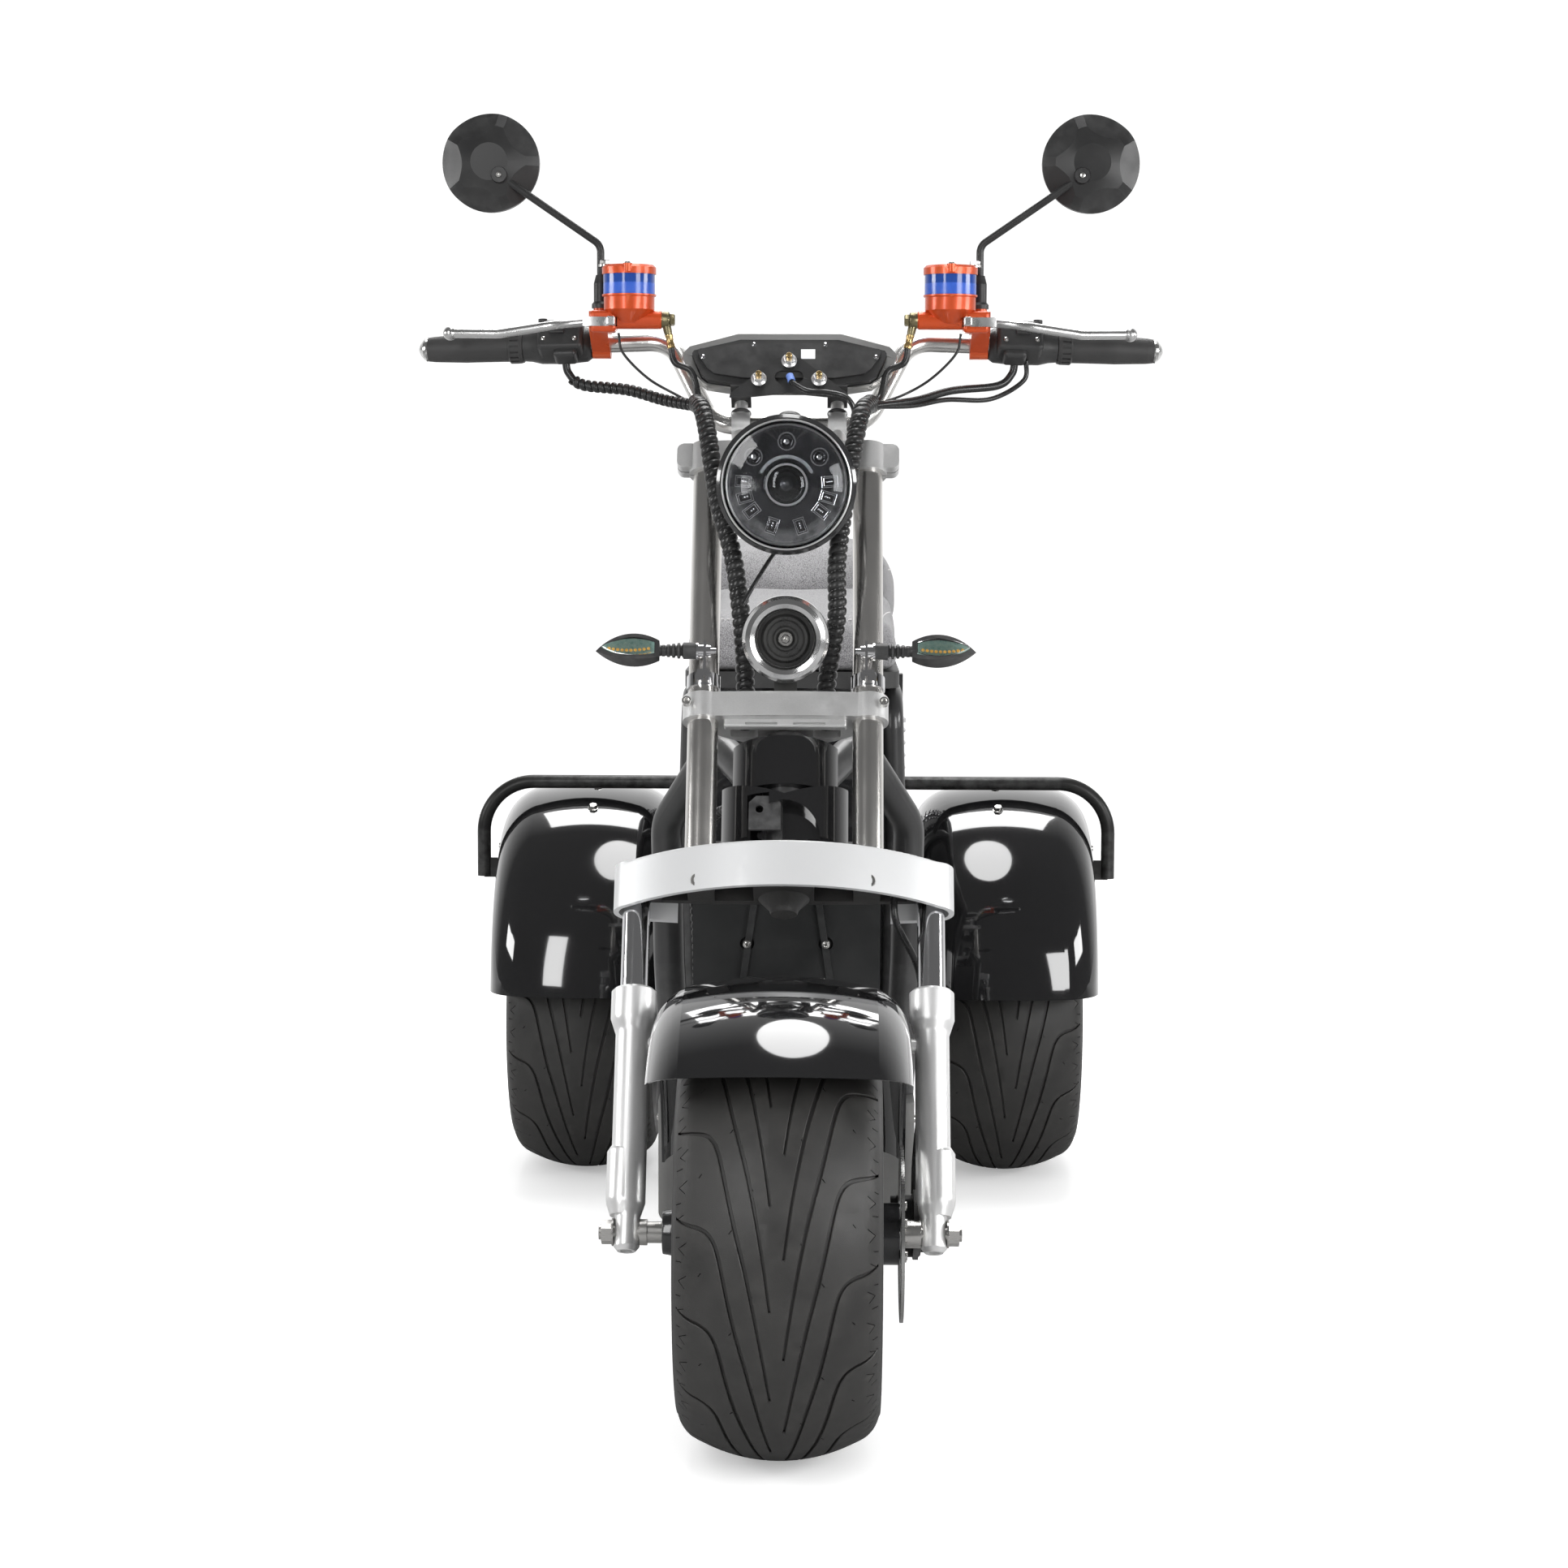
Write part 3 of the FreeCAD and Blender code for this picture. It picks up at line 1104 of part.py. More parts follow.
def head_shroud():
    """Gloss cover of the head tube: waisted top, bulging front with a V crease and an arch below."""
    body = None
    for z0, z1, half, nose in ((SHROUD_BOTTOM, SHROUD_TOP - 46, 72, 46), (SHROUD_TOP - 60, SHROUD_TOP, 60,
                                                                          36)):
        wire = Part.Wire([arc((-half, 4, z0), (0, -nose, z0), (half, 4, z0)), line((half, 4, z0),
                                                                                   (half - 6, 34, z0)),
                          line((half - 6, 34, z0), (-half + 6, 34, z0)), line((-half + 6, 34, z0),
                                                                              (-half, 4, z0))])
        part = Part.Face(wire).extrude(Vector(0, 0, z1 - z0))
        if body is None:
            crease = prism_y([(-90, z1), (0, z1 - 30), (90, z1), (90, z1 + 40), (-90, z1 + 40)], -90, 6)
            body = part.cut(crease)
        else:
            body = fused([body, part])
    arch = rod((0, -90, SHROUD_BOTTOM), (0, -26, SHROUD_BOTTOM), 80)
    keep = rod_z(0, 0, HEAD_Z0, HEAD_Z1, HEAD_TUBE_D)
    body = body.cut(arch).cut(box(-42, -2, -44, 0, SHROUD_BOTTOM - 1, HEAD_Z0 + 74)).cut(keep)
    body = raked(body).cut(frame_side(1)).cut(frame_side(-1))
    return max(body.Solids, key=lambda piece: piece.Volume)


PANEL_TOP = 612.0
PANEL_SCREW_X = 47.0
PANEL_SCREW_Z = 492.0


def front_panel():
    """Sloping apron between the frame tubes, with slanted ridges and two screw recesses."""
    half = SEAT_TUBE_X - 22
    body = prism_x([(388, PANEL_TOP), (430, PANEL_TOP), (470, FLOOR_TOP), (432, FLOOR_TOP)], -half, half)
    recess = [rod((s * PANEL_SCREW_X, 380, PANEL_SCREW_Z), (s * PANEL_SCREW_X, 410, PANEL_SCREW_Z), 17)
              for s in (-1, 1)]
    body = body.cut(Part.makeCompound(recess))
    ridges = []
    for s in (-1, 1):
        outline = [(s * 26, PANEL_TOP - 10), (s * 34, PANEL_TOP - 10), (s * 72, FLOOR_TOP + 40),
                   (s * 64, FLOOR_TOP + 40)]
        ridge = prism_y(outline, 370, 440)
        slab = prism_x([(384, PANEL_TOP - 10), (400, PANEL_TOP - 10), (440, FLOOR_TOP + 40),
                        (423, FLOOR_TOP + 40)],
                       -half, half)
        ridges.append(ridge.common(slab))
    return fused([body] + ridges).cut(frame_side(1)).cut(frame_side(-1))


def floor_box():
    """Steel tub under the feet, its long edges rounded."""
    body = box(-FLOOR_HALF, FLOOR_HALF, FLOOR_FRONT, FLOOR_REAR, FLOOR_BOTTOM, FLOOR_TOP)
    return round_edges(body, 12.0, lambda p, u: p.z < FLOOR_BOTTOM + 1 or abs(u.z) > 0.9)


DECK_FRONT = FLOOR_FRONT + 95.0


def foot_deck():
    """Tread plate on the tub."""
    plate = box(-FLOOR_HALF + 6, FLOOR_HALF - 6, DECK_FRONT, BODY_FRONT - 20, FLOOR_TOP, FLOOR_TOP + DECK_T)
    return round_edges(plate, 6.0, lambda p, u: abs(u.z) > 0.9)


BODY_WALL_GAP = 2.0


def seat_body():
    """Battery housing under the seat, between the frame tubes, with raised side panels."""
    top = SEAT_PAN_Z - SEAT_TUBE_D - 4
    half = SEAT_TUBE_X - SEAT_TUBE_D / 2 - BODY_WALL_GAP
    outline = [(BODY_FRONT, FLOOR_TOP), (BODY_FRONT, 600), (BODY_FRONT + 40, top), (BODY_REAR, top),
               (BODY_REAR, 620), (BODY_REAR - 60, 430), (1290, 430), (1130, FLOOR_TOP)]
    body = prism_x(outline, -half, half)
    cover = [(BODY_FRONT + 100, 340), (BODY_FRONT + 100, top - 30), (1290, top - 30), (1290, 470),
             (1140, 340)]
    covers = both_sides(prism_x(cover, half, half + 10))
    lip = box(-half, half, BODY_FRONT + 40, BODY_REAR, top, SEAT_PAN_Z)
    return fused([body, lip] + covers.Solids)


def seat_pan():
    """Pan under both seats."""
    half = SEAT_TUBE_X + 9
    pan = box(-half, half, BODY_FRONT - 10, BODY_REAR + 30, SEAT_PAN_Z, SEAT_PAN_Z + SEAT_PAN_T)
    return round_edges(pan, 30.0, lambda p, u: abs(u.z) > 0.9)


SEAT_EDGE_R = 16.0


def driver_seat():
    """Driver's cushion with a rounded nose."""
    z = SEAT_BASE
    split = SEAT_SPLIT - 1
    outline = [(BODY_FRONT - 18, z), (BODY_FRONT - 34, z + DRIVER_H * 0.4), (BODY_FRONT + 6, DRIVER_TOP - 16),
               (BODY_FRONT + 110, DRIVER_TOP - 14), (split - 100, DRIVER_TOP), (split,
                                                                                DRIVER_TOP + 18), (split, z)]
    body = prism_x(outline, -DRIVER_HALF, DRIVER_HALF)
    return round_edges(body, SEAT_EDGE_R, lambda p,
                       u: abs(p.x) > DRIVER_HALF - 1 and z + 1 < p.z and p.y < split - 1)


def passenger_seat():
    """Passenger's raised cushion."""
    z = SEAT_BASE
    h = PASSENGER_H
    outline = [(SEAT_SPLIT, z), (SEAT_SPLIT, z + h * 0.62), (SEAT_SPLIT + 32, z + h * 0.92),
               (SEAT_SPLIT + 100, z + h),
               (BODY_REAR - 10, z + h * 0.93), (BODY_REAR + 35, z + h * 0.35), (BODY_REAR + 30, z)]
    half = PASSENGER_HALF
    body = prism_x(outline, -half, half)
    return round_edges(body, SEAT_EDGE_R, lambda p,
                       u: abs(p.x) > half - 1 and z + 1 < p.z and p.y > SEAT_SPLIT + 1)


# Rear end
HUB_IN = 96.0
DISC_GAP = 6.0
HOUSING_HALF = REAR_X - HUB_IN - DISC_T - DISC_GAP
ARM_X = SEAT_TUBE_X + 2.0
SEAL_D = 70.0


def axle_housing():
    """Rear axle tube with the ribbed drive casing, two trailing arms and the half shafts."""
    tube = rod_x(-HOUSING_HALF, HOUSING_HALF, WHEELBASE, TYRE_R, REAR_AXLE_D)
    arms = both_sides(box(ARM_X - 15, ARM_X + 15, FLOOR_REAR, WHEELBASE, TYRE_R - 22, TYRE_R + 22))
    profile = [(-84, 0), (-84, 42)]
    for x in range(-60, 61, 20):
        profile += [(x - 5, 72), (x - 5, 78), (x + 5, 78), (x + 5, 72)]
    casing = ring_x(profile + [(84, 42), (84, 0)], 0, WHEELBASE, TYRE_R)
    shafts = rod_x(-REAR_X - 40, REAR_X + 40, WHEELBASE, TYRE_R, HALF_SHAFT_D)
    flanges = both_sides(rod_x(HOUSING_HALF - 8, HOUSING_HALF, WHEELBASE, TYRE_R, SEAL_D))
    return fused([tube, casing, shafts] + arms.Solids + flanges.Solids)


def rear_disc(side):
    """Brake disc on the inner end of a rear hub."""
    disc = brake_disc(REAR_DISC_D, HALF_SHAFT_D + 2 * FIT)
    disc.translate(Vector(-HUB_IN - DISC_T, 0, 0))
    return at_rear(disc if side > 0 else mirrored(disc), side)


def rear_caliper():
    """Left rear caliper on its plate from the axle tube's flange."""
    x = -HUB_IN - DISC_T
    body = caliper(0, REAR_DISC_D)
    body = mirrored(body)
    body.translate(Vector(x + DISC_T, 0, 0))
    face = HOUSING_HALF - REAR_X
    plate = prism_x([(SEAL_D / 2 - 6, 26), (REAR_DISC_D / 2 + 20, 30), (REAR_DISC_D / 2 + 20, -30),
                     (SEAL_D / 2 - 6, -26)], face - 8, face)
    body = fused([body, plate])
    body.rotate(ORIGIN, X, 200)
    body = at_rear(body, 1).cut(axle_housing())
    return max(body.Solids, key=lambda piece: piece.Volume)


def fender_solid(side, grow):
    """Solid of a rear mudguard's outer shape, made smaller all round by grow."""
    half = FENDER_HALF - grow
    r = FENDER_R - grow
    c = FENDER_CORNER - grow
    crown = FENDER_CROWN_R - grow
    corner_x = half - c
    rise = math.sqrt((crown - c) ** 2 - corner_x ** 2)
    corner_z = r - crown + rise
    lean = math.atan2(corner_x, rise)
    end = (corner_x + c * math.sin(lean), 0, corner_z + c * math.cos(lean))
    turn = lean / 2 + math.pi / 4
    knee = (corner_x + c * math.sin(turn), 0, corner_z + c * math.cos(turn))
    mirror_end = (-end[0], 0, end[2])
    edges = [line((-half, 0, 0), (-half, 0, corner_z)), arc((-half, 0, corner_z), (-knee[0], 0, knee[2]),
                                                            mirror_end),
             arc(mirror_end, (0, 0, r), end), arc(end, knee, (half, 0, corner_z)),
             line((half, 0, corner_z), (half, 0, 0)), line((half, 0, 0), (-half, 0, 0))]
    drum = Part.Face(Part.Wire(edges)).revolve(ORIGIN, X, 360)
    drum.translate(Vector(side * FENDER_X, WHEELBASE, FENDER_TOP - FENDER_R))
    return drum


def rear_fender(side):
    """Deep rounded mudguard over a rear wheel, its side walls closed and its edge level."""
    shell = fender_solid(side, 0).cut(fender_solid(side, FENDER_T))
    return shell.cut(box(-800, 800, 900, 2000, -200, FENDER_EDGE_Z))


def guard_rail():
    """Bent tube over each mudguard, from the frame post to a tab on the mudguard's outer side."""
    x = RAIL_HALF - RAIL_D / 2
    z = RAIL_TOP - RAIL_D / 2
    low = RAIL_TOP - RAIL_DROP
    bar = bent_rod([(SEAT_TUBE_X, RAIL_Y, z), (x, RAIL_Y, z), (x, RAIL_Y, low)], 75, RAIL_D)
    bar = bar.cut(rod((SEAT_TUBE_X, RAIL_Y, low - 50), (SEAT_TUBE_X, RAIL_Y, z + 100), SEAT_TUBE_D))
    bar = max(bar.Solids, key=lambda piece: piece.BoundBox.XMax)
    side = FENDER_X + FENDER_HALF
    tab = fused([box(side - 30, x, RAIL_Y - 3, RAIL_Y + 3, low - 2, low + 27),
                 box(side - 30, side + 3, RAIL_Y - 14, RAIL_Y + 14, low - 2, low + 27)])
    return fused([bar, tab]).cut(fender_solid(1, 0))


SPRING_R = 15.5
SPRING_WIRE = 6.0
SPRING_PITCH = 19.0
SHOCK_LOW = TYRE_R + 46.0


def rear_shock():
    """Left spring damper: eyes, body, rod, two spring seats and a wound coil spring."""
    seat_r = SPRING_R + SPRING_WIRE / 2
    top_seat = SHOCK_TOP - 34
    low_seat = SHOCK_LOW + 96
    body = turned_z([(0, SHOCK_LOW), (13, SHOCK_LOW), (13, low_seat - 6), (seat_r, low_seat - 6),
                     (seat_r, low_seat),
                     (11, low_seat), (11, low_seat + 150), (7, low_seat + 154), (7, top_seat), (seat_r,
                                                                                                top_seat),
                     (seat_r, top_seat + 6), (11, top_seat + 10), (11, SHOCK_TOP), (0, SHOCK_TOP)])
    foot = box(-12, 12, -14, 14, TYRE_R, SHOCK_LOW + 2)
    eye = rod_x(-13, 13, 0, SHOCK_LOW + 12, SHOCK_EYE_D + 10)
    solid = fused([body, foot, eye])
    turns_h = top_seat - low_seat - SPRING_WIRE
    helix = Part.makeHelix(SPRING_PITCH, turns_h, SPRING_R)
    ring = Part.Wire(Part.makeCircle(SPRING_WIRE / 2, Vector(SPRING_R, 0, 0), Vector(0, 1, 0)))
    spring = Part.Wire(helix.Edges).makePipeShell([ring], True, True)
    spring.translate(Vector(0, 0, low_seat + SPRING_WIRE / 2))
    solid = Part.makeCompound([solid, spring])
    solid.translate(Vector(SHOCK_X, SHOCK_Y, 0))
    return Part.makeCompound([piece.cut(rod_x(0, REAR_X, WHEELBASE, TYRE_R,
                                              REAR_AXLE_D)) for piece in solid.Solids])


def tail_lamp():
    """Tail lamp: rounded lens bar on a bracket behind the seat housing."""
    lens = rounded_box(-72, 72, BODY_REAR + 12, BODY_REAR + 40, 640, 692, 10.0)
    bracket = box(-30, 30, BODY_REAR, BODY_REAR + 20, 650, 682)
    return fused([lens, bracket])


# Cables
LOOM_D = 21.0
HOSE_D = 8.0
LEFT_LOOM = [(98, -24, 1014), (84, -76, 962), (67, -78, 850), (58, -68, 776), (58, -50, 714)]
RIGHT_LOOM = [(-112, -24, 1014), (-98, -76, 962), (-80, -78, 850), (-62, -68, 784), (-52, -50, 716)]


def fork_point(x, fy, fz):
    y, z = from_fork(fy, fz)
    return x, y, z


def loom(places, side):
    """Wrapped loom from beside the lamp into the middle clamp's window, with its hose and switch wire."""
    points = [fork_point(*place) for place in places]
    x = side * WINDOW_X
    points += [fork_point(x, -14, 648), fork_point(x, -13, MID_CLAMP_Z + 4)]
    y, z = master_place()
    top = Vector(*points[0])
    below = top + (top - Vector(*points[1])) * -0.3
    hose = cable([(side * (MASTER_X - 41), y, z), (side * (MASTER_X - 64), y, z), (side * 118, y - 8, z - 52),
                  (side * 109, y - 20, z - 96), tuple(below)], HOSE_D)
    wire_y, wire_z = bar_at(BAR_HALF - GRIP_LENGTH - SWITCH_LENGTH + 28)
    start = BAR_HALF - GRIP_LENGTH - SWITCH_LENGTH + 30
    wire = cable([(side * start, wire_y - 13, wire_z - 27), (side * (start - 14), wire_y - 16, wire_z - 50),
                  (side * 196, 520, 1154), (side * 140, 486, 1140), tuple(below)], HOSE_D + 2)
    return fused([cable(points, LOOM_D), hose, wire])


def looms():
    """Looms of both sides, and the front brake hose from the crown down behind the left leg."""
    inner_x = DISC_X + DISC_T + 12
    hose = cable([fork_point(123, -30, CROWN_TOP - COVER_WALL - 8), fork_point(123, -30, 352),
                  fork_point(156, 40, 310), fork_point(158, 44, 190), (150, DISC_D / 2 + 14, TYRE_R + 82),
                  (inner_x, DISC_D / 2 - 4, TYRE_R + 20)], HOSE_D)
    hose = max(hose.cut(front_caliper()).Solids, key=lambda piece: piece.Volume)
    return Part.makeCompound([loom(LEFT_LOOM, 1), loom(RIGHT_LOOM, -1), hose])


def frame_loom():
    """Loom from the head shroud down the inside of the right frame tube into the floor tub."""
    return cable([(-24, 300, 640), (-74, 425, 650), (-112, 492, 596), (-110, 504, 450), (-110, 504,
                                                                                         FLOOR_TOP)], 13.0)


# Export
os.makedirs("parts", exist_ok=True)


def save(name, shape):
    shape = shape.copy()
    shape.translate(Vector(0, FRONT_AXLE_Y, 0))
    shape.exportStep("parts/" + name + ".step")


save("front_tyre", at_front(tyre()))
save("front_rim", at_front(rim(HUB_X_RIGHT, DISC_X, AXLE_D + 2 * FIT)))
front_disc = brake_disc(DISC_D, AXLE_D + 2 * FIT)
front_disc.translate(Vector(DISC_X, 0, 0))
save("front_disc", at_front(front_disc))
rear_rim = rim(60, HUB_IN, HALF_SHAFT_D + 2 * FIT)
for name, side in (("left", 1), ("right", -1)):
    save("rear_tyre_" + name, at_rear(tyre(), side))
    save("rear_rim_" + name, at_rear(mirrored(rear_rim) if side > 0 else rear_rim, side))
    save("rear_disc_" + name, rear_disc(side))
save("lower_crown", raked(lower_crown()))
save("crown_cover", raked(crown_cover()))
save("middle_clamp", raked(middle_clamp()))
save("top_clamp", raked(top_clamp()))
save("fork_tubes", raked(fork_tubes()))
save("stanchions", raked(stanchions()))
save("lower_legs", raked(both_sides(lower_leg())))
save("front_fender", front_fender())
save("fender_arms", both_sides(fender_arm()))
save("front_axle", raked(front_axle()))
save("front_caliper", front_caliper())
save("headlight", headlight())
save("lamp_lens", lamp_lens())
save("lamp_reflector", lamp_reflector())
save("lamp_ears", lamp_bracket())
save("horn", horn())
save("turn_signals", raked(both_sides(signal())))
save("signal_clamps", raked(both_sides(signal_clamp())))
save("handlebar", handlebar())
save("grips", both_sides(on_grip(grip())))
save("bar_ends", both_sides(on_grip(bar_end())))
save("switch_housings", both_sides(on_grip(switch_housing())))
save("risers", risers())
save("ignition_barrel", ignition_barrel())
save("brake_masters", both_sides(brake_master()))
save("reservoirs", both_sides(reservoir()))
save("brake_levers", both_sides(brake_lever()))
save("mirrors", both_sides(mirror()))
save("display", display())
save("display_bracket", display_bracket())
save("head_tube", head_tube())
save("frame_left", frame_side(1))
save("frame_right", frame_side(-1))
save("head_shroud", head_shroud())
save("front_panel", front_panel())
save("floor_box", floor_box())
save("foot_deck", foot_deck())
save("seat_body", seat_body())
save("seat_pan", seat_pan())
save("driver_seat", driver_seat())
save("passenger_seat", passenger_seat())
save("axle_housing", axle_housing())
save("rear_calipers", both_sides(rear_caliper()))
save("rear_fender_left", rear_fender(1))
save("rear_fender_right", rear_fender(-1))
save("guard_rails", both_sides(guard_rail()))
save("rear_shocks", both_sides(rear_shock()))
save("tail_lamp", tail_lamp())
save("cables", looms())
save("frame_loom", frame_loom())
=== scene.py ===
import math

import bmesh
import bpy
from mathutils import Matrix, Vector, geometry
from mathutils.bvhtree import BVHTree


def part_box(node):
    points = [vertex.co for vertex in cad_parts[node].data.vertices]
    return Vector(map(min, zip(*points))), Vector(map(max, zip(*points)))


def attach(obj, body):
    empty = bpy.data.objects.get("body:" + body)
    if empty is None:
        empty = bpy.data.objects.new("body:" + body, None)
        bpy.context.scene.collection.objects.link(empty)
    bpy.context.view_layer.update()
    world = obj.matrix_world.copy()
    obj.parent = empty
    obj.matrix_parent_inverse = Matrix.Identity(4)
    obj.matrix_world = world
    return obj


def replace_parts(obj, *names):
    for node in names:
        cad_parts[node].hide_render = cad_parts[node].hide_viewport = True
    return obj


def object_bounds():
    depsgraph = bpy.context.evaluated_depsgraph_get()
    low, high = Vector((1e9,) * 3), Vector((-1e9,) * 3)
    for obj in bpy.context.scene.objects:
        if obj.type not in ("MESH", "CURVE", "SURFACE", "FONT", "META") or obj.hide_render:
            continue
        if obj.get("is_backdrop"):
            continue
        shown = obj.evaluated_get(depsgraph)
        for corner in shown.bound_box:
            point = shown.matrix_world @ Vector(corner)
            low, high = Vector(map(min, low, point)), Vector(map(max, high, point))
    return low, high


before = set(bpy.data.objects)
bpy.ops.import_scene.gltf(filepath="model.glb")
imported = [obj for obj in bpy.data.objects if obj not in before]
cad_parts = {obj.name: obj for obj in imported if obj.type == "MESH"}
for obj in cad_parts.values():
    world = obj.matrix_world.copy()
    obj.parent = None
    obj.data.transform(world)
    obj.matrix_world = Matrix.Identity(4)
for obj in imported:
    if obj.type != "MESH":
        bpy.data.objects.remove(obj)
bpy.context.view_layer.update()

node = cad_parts

# Viewpoint. The lens and place were fitted to the wheels, fork tubes and rails in the
# photograph: a long lens three metres in front, a little to the scooter's left.
CAMERA_PLACE = Vector((0.0511, -3.97305, 1.0285))
LENS = 70.44
YAW, PITCH, ROLL = (math.radians(a) for a in (0.862, 5.424, -0.180))
camera_data = bpy.data.cameras.new("studio_camera")
camera_data.lens = LENS
camera_data.sensor_width = 36.0
camera_data.clip_end = 200.0
camera = bpy.data.objects.new("studio_camera", camera_data)
bpy.context.scene.collection.objects.link(camera)
bpy.context.scene.camera = camera
look = Vector((-math.sin(YAW) * math.cos(PITCH), math.cos(YAW) * math.cos(PITCH), -math.sin(PITCH)))
level = Vector((math.cos(YAW), math.sin(YAW), 0.0))
upward = level.cross(look)
turned_right = level * math.cos(ROLL) - upward * math.sin(ROLL)
turned_up = level * math.sin(ROLL) + upward * math.cos(ROLL)
camera.matrix_world = Matrix.Translation(CAMERA_PLACE) @ Matrix(
    (turned_right, turned_up, -look)).transposed().to_4x4()
bpy.context.scene.view_settings.view_transform = "Standard"

# Studio. A wide white floor under an even sky. Gloss and metal see a dark room in front of the
# scooter and a bright wall behind it, with soft boxes ahead, at the sides, above and behind.
FLOOR_HALF = 40.0
FLOOR_WHITE, FLOOR_MIRRORED, FLOOR_GLOW = 0.93, 0.30, 0.33
WALL_STARTS, WALL_ENDS = 0.6, 2.5
SKY_LIGHT, SKY_SEEN = 0.85, 1.1
ROOM_DARK, ROOM_BRIGHT = 0.13, 0.95
WALL_LOW_EDGE, WALL_FULL = 0.25, 0.80
GUARD_RIGHT, GUARD_LEFT = (-0.34, 0.38, 0.38), (0.38, 0.38, 0.37)


def put(tree, kind, values=(), **settings):
    """Adds a node, and gives its inputs their values: a socket to link or a plain value."""
    made = tree.nodes.new("ShaderNode" + kind)
    for label, value in settings.items():
        setattr(made, label, value)
    for label, value in dict(values).items():
        if isinstance(value, bpy.types.NodeSocket):
            tree.links.new(value, made.inputs[label])
        else:
            made.inputs[label].default_value = value
    return made


def paint(name, colour, rough, metal=0.0, **sockets):
    """A material whose plain numbers sit on the Principled shader's own sockets."""
    made = bpy.data.materials.new(name)
    made.use_nodes = True
    shader = made.node_tree.nodes["Principled BSDF"]
    for socket, value in {"Base_Color": (*colour, 1.0), "Roughness": rough, "Metallic": metal, **sockets}.items():
        shader.inputs[socket.replace("_", " ")].default_value = value
    return made, made.node_tree, shader


def spread(tree, value, low, high):
    """The value stretched so that low becomes 0 and high becomes 1."""
    return put(tree, "MapRange", {"Value": value, "From Min": low, "From Max": high}).outputs["Result"]


def product(tree, first, second):
    """Two numbers multiplied; each is a socket or a plain value."""
    return put(tree, "Math", {0: first, 1: second}, operation="MULTIPLY").outputs[0]


def blended(tree, kind, factor, first, second):
    """A mix of two numbers or colours by a socket; each side is a socket or a plain value."""
    at, came_out = {"FLOAT": ((2, 3), 0), "RGBA": ((6, 7), 2)}[kind]
    return put(tree, "Mix", {0: factor, at[0]: first, at[1]: second}, data_type=kind).outputs[came_out]


def join(tree, inputs, sockets):
    """Links each named input to its socket."""
    for label, socket in sockets.items():
        tree.links.new(socket, inputs[label])


def rounded(mesh, angle=None):
    """Shades a mesh as one soft surface; beyond the angle its edges stay sharp."""
    mesh.polygons.foreach_set("use_smooth", [True] * len(mesh.polygons))
    if angle is not None:
        mesh.set_sharp_from_angle(angle=math.radians(angle))


def mesh_object(name, points, faces, material, smooth=None):
    """An object from points and faces in metres; smooth is the angle up to which edges are round."""
    mesh = bpy.data.meshes.new(name)
    mesh.from_pydata([tuple(p) for p in points], [], faces)
    mesh.update()
    if smooth is not None:
        rounded(mesh, smooth)
    made = bpy.data.objects.new(name, mesh)
    bpy.context.scene.collection.objects.link(made)
    mesh.materials.append(material)
    return made


floor_paint, tree, shader = paint("floor_white", (FLOOR_WHITE,) * 3, 0.7, Specular_IOR_Level=0.1,
                                  Emission_Color=(1.0, 1.0, 1.0, 1.0))
rays = put(tree, "LightPath").outputs
along_floor = put(tree, "SeparateXYZ", {0: put(tree, "TexCoord").outputs["Object"]}).outputs["Y"]
dimmed = product(tree, rays["Is Glossy Ray"], spread(tree, along_floor, WALL_ENDS, WALL_STARTS))
join(tree, shader.inputs, {
    "Base Color": blended(tree, "RGBA", dimmed, (*(FLOOR_WHITE,) * 3, 1.0), (*(FLOOR_MIRRORED,) * 3, 1.0)),
    "Emission Strength": product(tree, rays["Is Camera Ray"], FLOOR_GLOW)})
mesh_object("studio_floor", [(x * FLOOR_HALF, y * FLOOR_HALF, 0) for x, y in (
    (-1, -1), (1, -1), (1, 1), (-1, 1))], [(0, 1, 2, 3)], floor_paint)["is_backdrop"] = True

world = bpy.data.worlds.new("studio_sky")
bpy.context.scene.world = world
world.use_nodes = True
sky = world.node_tree
sky.nodes.clear()
rays = put(sky, "LightPath").outputs
ahead = put(sky, "SeparateXYZ", {0: put(sky, "TexCoord").outputs["Generated"]}).outputs["Y"]
mirrored = put(sky, "MapRange", {"Value": ahead, "From Min": WALL_LOW_EDGE, "From Max": WALL_FULL,
                                 "To Min": ROOM_DARK, "To Max": ROOM_BRIGHT}).outputs["Result"]
seen = put(sky, "Background", {"Color": (1.0, 1.0, 1.0, 1.0), "Strength": SKY_LIGHT}).outputs[0]
for ray, strength in (("Is Glossy Ray", mirrored), ("Is Camera Ray", SKY_SEEN)):
    other = put(sky, "Background", {"Color": (1.0, 1.0, 1.0, 1.0), "Strength": strength}).outputs[0]
    seen = put(sky, "MixShader", {0: rays[ray], 1: seen, 2: other}).outputs[0]
put(sky, "OutputWorld", {"Surface": seen})

